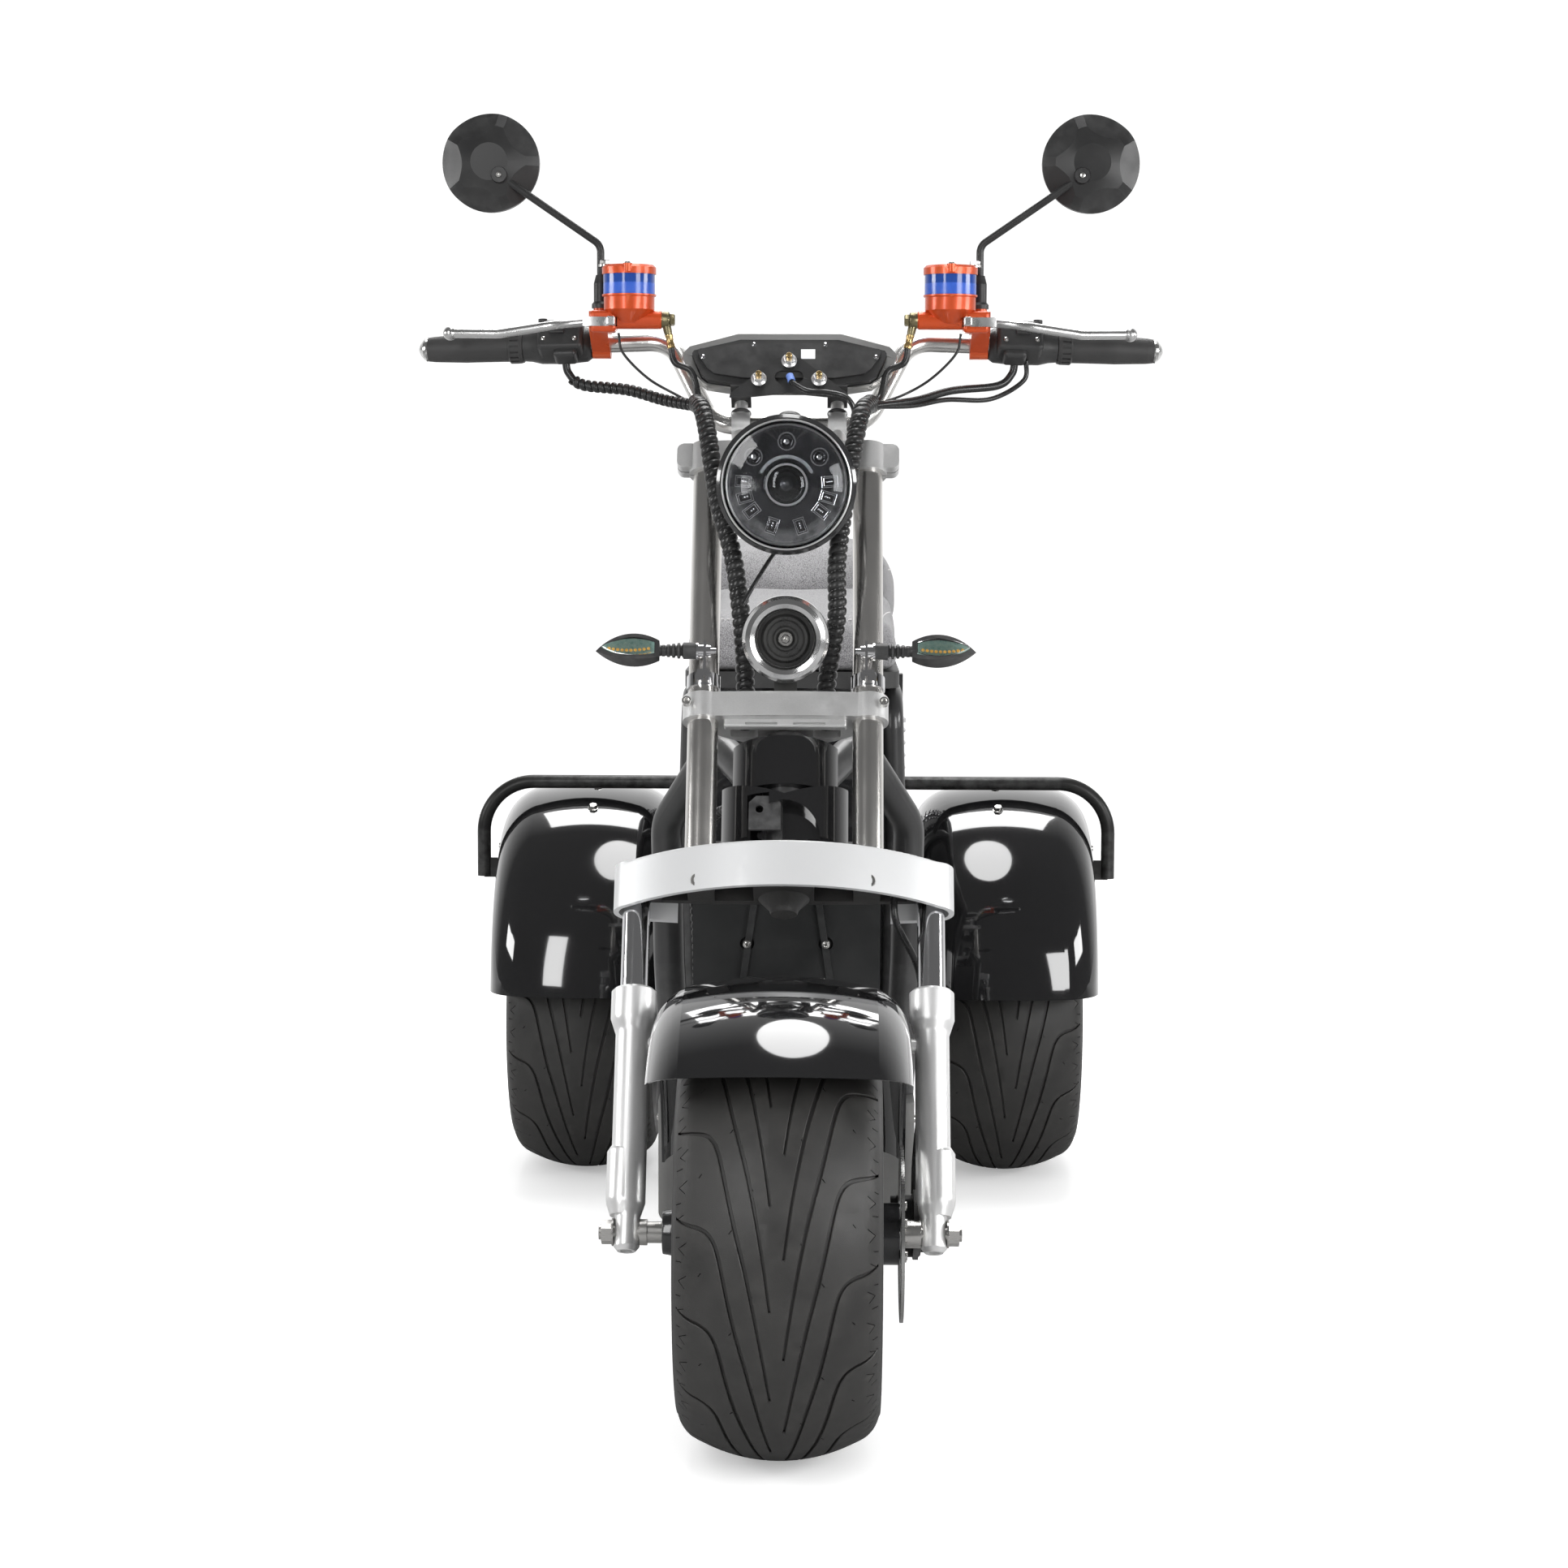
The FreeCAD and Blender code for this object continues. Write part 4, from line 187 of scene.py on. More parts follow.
for name, shape, place, aim, width, height, watts in (
        ("box_front_right", "RECTANGLE", (-1.19, -2.78, 1.63), GUARD_RIGHT, 0.50, 1.75, 24),
        ("box_front_left", "RECTANGLE", (2.06, -2.53, 1.34), GUARD_LEFT, 1.10, 1.30, 38),
        ("box_side_right", "RECTANGLE", (-3.24, -0.63, 1.48), GUARD_RIGHT, 1.30, 0.55, 24),
        ("box_side_left", "RECTANGLE", (3.24, -0.63, 1.48), GUARD_LEFT, 1.30, 0.65, 28),
        ("box_top", "ELLIPSE", (0.12, 0.15, 3.3), (0.12, 0.16, 0.5), 0.85, 1.5, 25),
        ("box_back", "RECTANGLE", (0.0, 2.3, 3.9), (0.0, -0.85, 0.49), 2.6, 1.1, 70)):
    light = bpy.data.lights.new(name, "AREA")
    light.shape, light.size, light.size_y, light.energy = shape, width, height, watts
    soft_box = bpy.data.objects.new(name, light)
    soft_box.location = place
    soft_box.rotation_euler = (Vector(aim) - Vector(place)).to_track_quat("-Z", "Y").to_euler()
    bpy.context.scene.collection.objects.link(soft_box)

# Tyres. Wide road tyres moulded in black rubber: slanting grooves run from each shoulder
# down to the middle and alternate left and right, and the shoulders carry short sipes. The
# mould leaves rings on the sidewalls.
TYRE_R, RIM_R = 0.2385, 0.1524
SHOULDER, BULGE, BEAD = (0.082, TYRE_R - 0.02), (0.1065, RIM_R + 0.0344), (0.089, RIM_R)
WALL_START = 0.112
TREAD_PITCHES = 14
PITCH = 2 * math.pi * TYRE_R / TREAD_PITCHES
LIP_WIDTH, LIP_DROP = 0.0008, 0.0007
GROOVE_NARROW, GROOVE_WIDENS, GROOVE_DEPTH = 0.0008, 0.0011, 0.0034
SIPE_ENDS, SIPE_DEPTH = (0.0006, 0.0004), 0.0016
LAND_COLUMNS, LAND_ROWS = 28, 8
WALL_STEPS, WALL_RINGS = 112, 22
MOULD_RINGS = {5: 0.0009, 6: 0.0009, 13: 0.0009, 17: 0.0014, 18: 0.0014, 19: 0.0014}
# Half of the pattern: distance from the middle, and distance along the tread, in millimetres.
GROOVE_LINE = [(103, -21), (97, -15), (88, -11), (78, -8), (70, -3), (64, 6), (60, 18), (56, 36), (51, 62),
               (45, 90), (39, 115), (32, 143), (26, 172), (20, 204), (13, 246), (7, 291)]
SIPES = [((91, 8), (99, 15)), ((99, 15), (93, 22)), ((96, 30), (104, 30)), ((91, 45), (99, 52)),
         ((99, 52), (93, 60)), ((97, 70), (104, 71)), ((94, 84), (100, 88)), ((98, 2), (104, 3)),
         ((45, -6), (48, -2)), ((24, 60), (26, 65)), ((76, 40), (79, 44))]


def arc_through(a, b, c, steps):
    """Points on the circle through three points, from a by way of b to c."""
    d = 2 * (a[0] * (b[1] - c[1]) + b[0] * (c[1] - a[1]) + c[0] * (a[1] - b[1]))
    sa, sb, sc = (p[0] ** 2 + p[1] ** 2 for p in (a, b, c))
    x = (sa * (b[1] - c[1]) + sb * (c[1] - a[1]) + sc * (a[1] - b[1])) / d
    y = (sa * (c[0] - b[0]) + sb * (a[0] - c[0]) + sc * (b[0] - a[0])) / d
    radius = math.hypot(a[0] - x, a[1] - y)
    first = math.atan2(a[1] - y, a[0] - x)
    middle, last = ((math.atan2(p[1] - y, p[0] - x) - first + math.pi) % (2 * math.pi) - math.pi for p in (b, c))
    if abs(last) < abs(middle):
        last -= math.copysign(2 * math.pi, last)
    turns = [first + last * k / steps for k in range(steps + 1)]
    return [(x + radius * math.cos(t), y + radius * math.sin(t)) for t in turns]


def measured(line):
    """How far along a line each of its points lies."""
    marks = [0.0]
    for before, after in zip(line, line[1:]):
        marks.append(marks[-1] + math.dist(before, after))
    return marks


def station(marks, distance):
    """Which stretch of a measured line a distance falls in, and what share of it is passed."""
    k = next(i for i in range(len(marks) - 1) if marks[i + 1] >= distance - 1e-9)
    return k, (distance - marks[k]) / max(marks[k + 1] - marks[k], 1e-9)


outline = arc_through((-SHOULDER[0], SHOULDER[1]), (0.0, TYRE_R), SHOULDER, 48)[24:]
outline += arc_through(SHOULDER, BULGE, BEAD, 40)[1:]
lengths = measured(outline)


def tyre_point(s, v, depth=0.0):
    """The point s across and v along the tread, with the wheel's centre at zero."""
    k, f = station(lengths, min(abs(s), lengths[-1] - 1e-6))
    (x0, r0), (x1, r1) = outline[k:k + 2]
    size = math.hypot(x1 - x0, r1 - r0)
    x = x0 * (1 - f) + x1 * f + depth * (r1 - r0) / size
    r = r0 * (1 - f) + r1 * f - depth * (x1 - x0) / size
    return Vector((math.copysign(x, s), -r * math.cos(v / TYRE_R), -r * math.sin(v / TYRE_R)))


def on_rubber(point):
    """A point of the pattern in metres, its distance from the middle measured along the rubber."""
    x = point[0] / 1000
    k = next((i for i in range(len(outline) - 1) if outline[i + 1][0] >= x), None)
    if k is None:
        return lengths[-1], point[1] / 1000
    f = (x - outline[k][0]) / (outline[k + 1][0] - outline[k][0])
    return lengths[k] + f * (lengths[k + 1] - lengths[k]), point[1] / 1000


def strip(line, half_widths):
    """The outline of a groove of changing width round its middle line."""
    left, right = [], []
    for k, p in enumerate(line):
        a, b = line[max(k - 1, 0)], line[min(k + 1, len(line) - 1)]
        n = Vector((a[1] - b[1], b[0] - a[0])).normalized() * half_widths[k]
        left.append((p[0] + n.x, p[1] + n.y))
        right.append((p[0] - n.x, p[1] - n.y))
    return left + right[::-1]


def smoothed(line):
    """The line with its corners cut twice, ends kept."""
    for _ in range(2):
        cut = [(a[0] * (1 - f) + b[0] * f, a[1] * (1 - f) + b[1] * f)
               for a, b in zip(line, line[1:]) for f in (0.25, 0.75)]
        line = [line[0]] + cut + [line[-1]]
    return line


def tread_pitch():
    """One repeat of the tread: its triangles cut by the grooves, with what covers each one."""
    groove = smoothed([on_rubber(p) for p in GROOVE_LINE])
    last = len(groove) - 1
    half = [GROOVE_NARROW + GROOVE_WIDENS * min(1.0, 6 * k / (last + 1), 2.2 * (1 - k / last) + 0.3)
            for k in range(last + 1)]
    coords = [(-WALL_START, 0.0), (WALL_START, 0.0), (WALL_START, PITCH), (-WALL_START, PITCH)]
    outlines, kinds = [[0, 1, 2, 3]], ["land"]
    for polygon, kind in [(strip(groove, [w + LIP_WIDTH for w in half]), "lip"), (strip(groove, half), "groove")] + [
            (strip([on_rubber(p) for p in sipe], SIPE_ENDS), "sipe") for sipe in SIPES]:
        low_v, high_v = min(p[1] for p in polygon), max(p[1] for p in polygon)
        for moved, side in [(turn * PITCH + shift, side) for turn in range(-4, 5)
                            for side, shift in ((1, 0.0), (-1, PITCH / 2))]:
            if high_v + moved < -1e-4 or low_v + moved > PITCH + 1e-4:
                continue
            ring = [(side * p[0], p[1] + moved) for p in polygon]
            if sum(a[0] * b[1] - b[0] * a[1] for a, b in zip(ring, ring[1:] + ring[:1])) < 0:
                ring.reverse()
            outlines.append(list(range(len(coords), len(coords) + len(ring))))
            coords += ring
            kinds.append(kind)
    half_columns = LAND_COLUMNS // 2
    coords += [(k * WALL_START / half_columns, j * PITCH / LAND_ROWS)
               for k in range(-half_columns, half_columns + 1) for j in range(LAND_ROWS + 1)]
    points, _, faces, _, _, owners = geometry.delaunay_2d_cdt(
        [Vector(c) for c in coords], [], outlines, 0, 1e-6, True)
    covered = [(face, {kinds[i] for i in own}) for face, own in zip(faces, owners)]
    return points, [(face, kind) for face, kind in covered if "land" in kind], {
        i for face, kind in covered if "groove" in kind for i in face}


def add_pitch(form, turn, points, covered, lip_edge):
    """Puts one repeat of the tread on the tyre, with walls where its floor steps down."""
    placed, edges = {}, {}

    def at(index, depth):
        if (index, depth) not in placed:
            p = points[index]
            placed[index, depth] = form.verts.new(tyre_point(p.x, p.y + turn * PITCH, depth))
        return placed[index, depth]

    for face, kind in covered:
        sunk = GROOVE_DEPTH if "groove" in kind else SIPE_DEPTH if "sipe" in kind else None
        corners = [(i, LIP_DROP * (i in lip_edge) if sunk is None else sunk) for i in face]
        form.faces.new([at(*corner) for corner in corners][::-1])
        for a, b in zip(corners, corners[1:] + corners[:1]):
            edges.setdefault(frozenset((a[0], b[0])), []).append((a, b))
    for sides in edges.values():
        if len(sides) == 2 and sides[0] != sides[1][::-1]:
            ring = list(dict.fromkeys(at(*corner) for side in sides for corner in side))
            if len(ring) > 2 and not form.faces.get(ring):
                form.faces.new(ring)


form = bmesh.new()
one_pitch = tread_pitch()
for turn in range(TREAD_PITCHES):
    add_pitch(form, turn, *one_pitch)
rows = []
for side in (1, -1):
    for k in range(WALL_RINGS + 1):
        s = side * (WALL_START + (lengths[-1] - WALL_START) * k / WALL_RINGS)
        rows.append([form.verts.new(tyre_point(s, j * 2 * math.pi * TYRE_R / WALL_STEPS, -MOULD_RINGS.get(k, 0.0)))
                     for j in range(WALL_STEPS)])
inner_left, inner_right = WALL_RINGS, 2 * WALL_RINGS + 1
for a, b in [(k, k + 1) for k in range(inner_right) if k != inner_left] + [(inner_left, inner_right)]:
    for j in range(WALL_STEPS):
        n = (j + 1) % WALL_STEPS
        form.faces.new((rows[a][j], rows[b][j], rows[b][n], rows[a][n]))
bmesh.ops.remove_doubles(form, verts=form.verts, dist=2e-5)
bmesh.ops.recalc_face_normals(form, faces=form.faces)
tread_mesh = bpy.data.meshes.new("tyre_rubber")
form.to_mesh(tread_mesh)
form.free()
rounded(tread_mesh, 32)


def shader_group(name, inputs, outputs):
    """An empty shader node group with named sockets; an input's value says its type."""
    tree = bpy.data.node_groups.new(name, "ShaderNodeTree")
    for label, value in inputs.items():
        kind = {3: "Vector", 4: "Color"}[len(value)] if isinstance(value, tuple) else "Float"
        socket = tree.interface.new_socket(name=label, in_out="INPUT", socket_type="NodeSocket" + kind)
        socket.default_value = value
    for label, kind in outputs.items():
        tree.interface.new_socket(name=label, in_out="OUTPUT", socket_type="NodeSocket" + kind)
    return tree, tree.nodes.new("NodeGroupInput").outputs, tree.nodes.new("NodeGroupOutput").inputs


def noise(tree, vector, scale, detail):
    """A cloudy pattern of a given scale."""
    values = {"Vector": vector, "Scale": scale, "Detail": detail, "Roughness": 0.55}
    return put(tree, "TexNoise", values).outputs["Fac"]


# What every finish has: broad clouds of tone, fine grain, and polish or wear along edges.
grain, given, result = shader_group(
    "surface_grain", {"Vector": (0.0, 0.0, 0.0), "Colour": (0.5, 0.5, 0.5, 1.0), "Second": (0.4, 0.4, 0.4, 1.0),
                      "Smooth": 0.3, "Rough": 0.5, "Broad": 14.0, "Fine": 700.0},
    {"Colour": "Color", "Roughness": "Float", "Height": "Float"})
clouds = spread(grain, noise(grain, given["Vector"], given["Broad"], 5.0), 0.32, 0.68)
specks = noise(grain, given["Vector"], given["Fine"], 3.0)
tone = put(grain, "Math", {0: spread(grain, specks, 0.35, 0.65), 1: 0.35, 2: clouds}, operation="MULTIPLY_ADD")
join(grain, result, {
    "Colour": blended(grain, "RGBA", spread(grain, tone.outputs[0], 0.0, 1.35), given["Colour"], given["Second"]),
    "Roughness": blended(grain, "FLOAT", clouds, given["Smooth"], given["Rough"]), "Height": specks})

wear, given, result = shader_group(
    "edge_wear", {"Vector": (0.0, 0.0, 0.0), "Colour": (0.5, 0.5, 0.5, 1.0), "Worn": (0.7, 0.7, 0.7, 1.0),
                  "Amount": 0.5, "Start": 0.52}, {"Colour": "Color"})
along_edge = spread(wear, put(wear, "NewGeometry").outputs["Pointiness"], given["Start"], 0.62)
patches = spread(wear, noise(wear, given["Vector"], 60.0, 6.0), 0.35, 0.6)
rubbed = product(wear, product(wear, along_edge, patches), given["Amount"])
join(wear, result, {"Colour": blended(wear, "RGBA", rubbed, given["Colour"], given["Worn"])})


def effect(tree, group, values):
    """A shared effect placed in a material with its own values."""
    return put(tree, "Group", values, node_tree=group).outputs


def relief(tree, shader, height, strength, depth):
    """Lays a fine relief over whatever relief the shader has already."""
    normal = shader.inputs["Normal"]
    under = {"Normal": link.from_socket for link in normal.links}
    bump = put(tree, "Bump", {"Strength": strength, "Distance": depth, "Height": height, **under})
    tree.links.new(bump.outputs["Normal"], normal)


def finish_of(name, colour, second, rough, metal=0.0, broad=14.0, fine=700.0, bump=0.12, stretch=(1, 1, 1),
              worn=None, **sockets):
    """A finish: two tones clouded together, a span of roughness, a fine bump and worn edges."""
    made, tree, shader = paint(name, colour, rough[0], metal, **sockets)
    place = put(tree, "TexCoord").outputs["Object"]
    skin = effect(tree, grain, {
        "Vector": put(tree, "Mapping", {"Vector": place, "Scale": stretch}).outputs["Vector"],
        "Colour": (*colour, 1.0), "Second": (*second, 1.0), "Smooth": rough[0], "Rough": rough[1],
        "Broad": broad, "Fine": fine})
    shade = skin["Colour"]
    if worn is not None:
        shade = effect(tree, wear, {"Vector": place, "Colour": shade, "Worn": (*worn[0], 1.0),
                                    "Amount": worn[1]})["Colour"]
    join(tree, shader.inputs, {"Base Color": shade, "Roughness": skin["Roughness"]})
    relief(tree, shader, skin["Height"], bump, 0.0004)
    return made


def dress(finish, *names):
    """Gives carried-over solids their finish."""
    for name in names:
        node[name].data.materials.clear()
        node[name].data.materials.append(finish)


rubber = finish_of("tyre_rubber", (0.017, 0.0165, 0.016), (0.027, 0.026, 0.0245), (0.40, 0.58), broad=22.0,
                   fine=1300.0, bump=0.35, worn=((0.075, 0.07, 0.065), 0.5), Specular_IOR_Level=0.55)
dress(rubber, "front_tyre", "rear_tyre_left", "rear_tyre_right")
tread_mesh.materials.append(rubber)
for name, wheel, mesh in (("front_tyre", "front_wheel", tread_mesh),
                          ("rear_tyre_left", "rear_wheel_left", tread_mesh.copy()),
                          ("rear_tyre_right", "rear_wheel_right", tread_mesh.copy())):
    tread = bpy.data.objects.new(name + "_tread", mesh)
    tread.location = sum(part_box(name), Vector()) / 2
    bpy.context.scene.collection.objects.link(tread)
    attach(tread, wheel)
    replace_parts(tread, name)

# Rims, discs and front axle. Cast rims sprayed gloss black, turned steel discs on their hubs,
# and a steel axle with spacers and nuts, its faces left bright from turning.
RIMS = ("front_rim", "rear_rim_left", "rear_rim_right")
DISCS = ("front_disc", "rear_disc_left", "rear_disc_right")
DISC_COLOUR, DISC_ROUGH = (0.66, 0.66, 0.65), (0.2, 0.36)


def soften(width, *names, segments=2):
    """Rounds solids' edges a little and evens their shading, as casting and deburring do."""
    for name in names:
        rounded(node[name].data)
        modifiers = node[name].modifiers
        modifiers.new("joined_faces", "WELD").merge_threshold = 1e-5
        edge = modifiers.new("soft_edges", "BEVEL")
        edge.width, edge.segments, edge.use_clamp_overlap = width, segments, True
        edge.limit_method, edge.angle_limit = "ANGLE", math.radians(35)
        modifiers.new("even_shade", "WEIGHTED_NORMAL").keep_sharp = True


dress(finish_of("rim_black", (0.012, 0.012, 0.013), (0.02, 0.02, 0.021), (0.14, 0.28), broad=9.0, fine=900.0,
                bump=0.05, worn=((0.09, 0.09, 0.09), 0.5), Coat_Weight=0.5, Coat_Roughness=0.06), *RIMS)
soften(0.0012, *RIMS)

turning, given, result = shader_group(
    "turning_lines", {"Vector": (0.0, 0.0, 0.0), "Scale": 500.0, "Smooth": 0.18, "Rough": 0.34},
    {"Roughness": "Float", "Height": "Float", "Mask": "Float"})
rings = put(turning, "TexWave", {"Vector": given["Vector"], "Scale": given["Scale"], "Distortion": 0.6,
                                 "Detail": 3.0}, wave_type="RINGS", rings_direction="SPHERICAL").outputs["Fac"]
join(turning, result, {"Roughness": blended(turning, "FLOAT", rings, given["Smooth"], given["Rough"]),
                       "Height": rings, "Mask": rings})
for name in DISCS:
    disc_steel, tree, shader = paint(name + "_steel", DISC_COLOUR, DISC_ROUGH[0], 1.0)
    centre = sum(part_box(name), Vector()) / 2
    in_disc = put(tree, "Mapping", {"Vector": put(tree, "TexCoord").outputs["Object"],
                                    "Location": (0, -centre.y, -centre.z), "Scale": (0, 1, 1)}).outputs["Vector"]
    lines = effect(tree, turning, {"Vector": in_disc, "Scale": 260.0, "Smooth": DISC_ROUGH[0], "Rough": DISC_ROUGH[1]})
    join(tree, shader.inputs, {"Roughness": lines["Roughness"], "Base Color": blended(
        tree, "RGBA", lines["Mask"], (*DISC_COLOUR, 1.0), (*[c * 0.82 for c in DISC_COLOUR], 1.0))})
    relief(tree, shader, lines["Height"], 0.15, 0.0003)
    dress(disc_steel, name)
dress(finish_of("axle_steel", (0.72, 0.71, 0.69), (0.6, 0.59, 0.57), (0.2, 0.34), 1.0, broad=30.0, fine=1500.0,
                stretch=(0.15, 1, 1)), "front_axle")
soften(0.0006, "front_axle")

# Fork. Two thick polished steel tubes stand in cast clamps; below them a wide casting, with a
# pale satin cover over it, carries the chromed inner tubes and the satin silver lower legs.
RAKE_UP = Vector((0.0, 0.4772, 0.8788))
RAKE_AHEAD = Vector((0.0, 0.8788, -0.4772))


def on_fork(x, y, z):
    """A place given in the fork's own millimetres, as metres in the frame."""
    return Vector((x, 8.788 + 0.8788 * y + 0.4772 * z - 745.75, 233.73 - 0.4772 * y + 0.8788 * z)) / 1000


dress(finish_of("fork_tube_polished", (0.84, 0.825, 0.80), (0.72, 0.70, 0.675), (0.16, 0.27), 1.0, broad=26.0,
                fine=1600.0, bump=0.06, stretch=(1, 1, 0.12)), "fork_tubes")
dress(finish_of("stanchion_chrome", (0.82, 0.82, 0.83), (0.74, 0.74, 0.76), (0.05, 0.12), 1.0, broad=12.0,
                fine=900.0, bump=0.03), "stanchions")
dress(finish_of("leg_satin", (0.88, 0.88, 0.875), (0.80, 0.80, 0.80), (0.3, 0.42), 0.75, broad=10.0, fine=1500.0,
                bump=0.1, worn=((0.9, 0.9, 0.9), 0.3)), "lower_legs", "fender_arms")
dress(finish_of("cover_satin", (0.62, 0.625, 0.63), (0.57, 0.575, 0.58), (0.32, 0.42), 0.35, broad=6.0, fine=1600.0,
                bump=0.06, worn=((0.86, 0.86, 0.86), 0.3)), "crown_cover")
dress(finish_of("crown_cast_black", (0.022, 0.022, 0.022), (0.035, 0.034, 0.033), (0.4, 0.62), broad=26.0, fine=520.0,
                bump=0.55, worn=((0.12, 0.115, 0.11), 0.5)), "lower_crown")
dress(finish_of("clamp_cast", (0.74, 0.74, 0.735), (0.61, 0.61, 0.61), (0.34, 0.5), 0.85, broad=24.0, fine=800.0,
                bump=0.3, worn=((0.86, 0.86, 0.86), 0.6)), "middle_clamp", "top_clamp", "lamp_ears", "risers")
soften(0.0014, "lower_crown", "middle_clamp")
soften(0.0012, "top_clamp", "crown_cover")
soften(0.0008, "lower_legs")
soften(0.0006, "lamp_ears")


def turned(points, faces, profile, place, axis, steps=24):
    """Adds a lathed form: (radius, height) pairs turned round an axis through a place."""
    axis = Vector(axis).normalized()
    side = axis.orthogonal().normalized()
    other = axis.cross(side)
    rows = []
    for r, h in profile:
        count = 1 if r == 0 else steps
        rows.append(range(len(points), len(points) + count))
        for k in range(count):
            t = 2 * math.pi * k / steps
            points.append(Vector(place) + axis * h + (side * math.cos(t) + other * math.sin(t)) * r)
    for a, b in zip(rows, rows[1:]):
        for k in range(steps):
            n = (k + 1) % steps
            face = list(dict.fromkeys((a[k % len(a)], a[n % len(a)], b[n % len(b)], b[k % len(b)])))
            if len(face) > 2:
                faces.append(face)


def scaled(size, *pairs):
    """A profile given in shares of half a size; a tuple of three adds a length in metres."""
    return [(pair[0] * size / 2, pair[1] * size / 2 + sum(pair[2:])) for pair in pairs]


def hex_bolt(points, faces, place, axis, size):
    """Hexagon head on a washer; size is the head's width over its corners."""
    turned(points, faces, scaled(size, (0, 0, -0.002), (1.16, 0, -0.002), (1.2, 0.12), (0.98, 0.2)), place, axis, 28)
    turned(points, faces, scaled(size, (0.98, 0.2), (1, 0.25), (1, 0.78), (0.84, 0.95), (0, 0.95)), place, axis, 6)


def socket_bolt(points, faces, place, axis, size):
    """Round head with a hexagon socket."""
    turned(points, faces, scaled(size, (1, 0, -0.002), (1, 0.7), (0.9, 0.86), (0.6, 0.86)), place, axis, 28)
    turned(points, faces, scaled(size, (0.62, 0.86), (0.54, 0.8), (0.54, 0.25), (0, 0.2)), place, axis, 6)


def stud_nut(points, faces, place, axis, size):
    """Flanged nut with the stud's threaded end standing out of it."""
    thread = [pair for k in range(7) for pair in ((0.52, 1.2 + 0.13 * k), (0.44, 1.265 + 0.13 * k))]
    turned(points, faces, scaled(size, (0, 0, -0.001), (1.45, 0, -0.001), (1.5, 0.14), (1.05, 0.4)), place, axis, 28)
    turned(points, faces, scaled(size, (1.12, 0), (1.12, 1.1), (0.96, 1.28), (0.5, 1.28)), place, axis, 6)
    turned(points, faces, scaled(size, *thread, (0.36, 2.15), (0, 2.15)), place, axis, 20)


def cross_screw(points, faces, place, axis, size):
    """Domed head with a sunk ring, as a small panel screw has."""
    turned(points, faces, scaled(size, (1, 0, -0.001), (1, 0.2), (0.82, 0.52), (0.4, 0.66), (0.32, 0.62)),
           place, axis, 24)
    turned(points, faces, scaled(size, (0.36, 0.64), (0.2, 0.1), (0, 0.05)), place, axis, 4)


def fitted(name, body, slot, material, points, faces, smooth=None):
    """A piece of its own, carried by a body."""
    made = mesh_object(name, points, faces, material, smooth)
    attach(made, body)
    return made


def fixings(name, body, slot, material, rows, smooth=30):
    """One object of many fixings: rows of (maker, place, axis, size)."""
    points, faces = [], []
    for maker, *values in rows:
        maker(points, faces, *values)
    return fitted(name, body, slot, material, points, faces, smooth)


bolt_steel = finish_of("bolt_steel", (0.78, 0.77, 0.75), (0.62, 0.61, 0.59), (0.16, 0.3), 1.0, broad=120.0,
                       fine=2600.0, bump=0.06)
fixings("crown_bolts", "steering", "chrome", bolt_steel,
        [(socket_bolt, on_fork(x, -74, 378), -RAKE_AHEAD, 0.018) for x in (-93, 93)])
fixings("clamp_bolts", "steering", "chrome", bolt_steel,
        [(hex_bolt, on_fork(x, -14, 926), -RAKE_AHEAD, 0.014) for x in (-122, 122)]
        + [(socket_bolt, on_fork(x, -60, 603), -RAKE_AHEAD, 0.011) for x in (-112, 112)])

# Front mudguard and its arms. A moulded guard painted gloss black, on two bright arms that
# are bolted to the legs.
gloss = finish_of("gloss_black", (0.006, 0.006, 0.0065), (0.009, 0.009, 0.0095), (0.05, 0.09), broad=5.0,
                  fine=420.0, bump=0.012, Coat_Weight=1.0, Coat_Roughness=0.03)
dress(gloss, "front_fender")
low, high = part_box("fender_arms")
fixings("arm_bolts", "steering", "chrome", bolt_steel,
        [(hex_bolt, Vector((s * (high.x + 0.0005), (low.y + high.y) / 2, (low.z + high.z) / 2)), (s, 0, 0), 0.013)
         for s in (-1, 1)])

# Headlight. A black pressed shell with a bright inner bezel, clear moulded lens, and behind it
# a dark light plate: projector lens, crescent lamp, three round and eight oblong modules.
LAMP = Vector((0.0, -0.453, 1.0376))
FORWARD = Vector((0.0, -1.0, 0.0))
MODULES_R = 0.049
ROUND_AT, OBLONG_AT = (40, 90, 140), (4, -17, -37, -71, -109, -143, -163, 176)
FRAMES = ((-8.6, 9.2, 6.2), (-6.2, 7.2, 4.3))
CRESCENT_R, CRESCENT_STEPS, CRESCENT_FROM, CRESCENT_SWEEP = 0.0318, 40, 24, 132
CRESCENT_PROFILE = ((-1.9, 8.8), (-1.9, 9.6), (-1.0, 10.6), (1.0, 10.6), (1.9, 9.6), (1.9, 8.8))
dress(finish_of("lamp_black", (0.012, 0.012, 0.013), (0.02, 0.02, 0.02), (0.08, 0.2), broad=20.0, fine=900.0,
                bump=0.04, Coat_Weight=0.8, Coat_Roughness=0.04), "headlight")
soften(0.0006, "headlight")
dress(finish_of("light_plate", (0.030, 0.030, 0.033), (0.09, 0.09, 0.098), (0.12, 0.25), 0.6, broad=40.0,
                fine=1600.0, bump=0.05, worn=((0.5, 0.5, 0.5), 0.9)), "lamp_reflector")


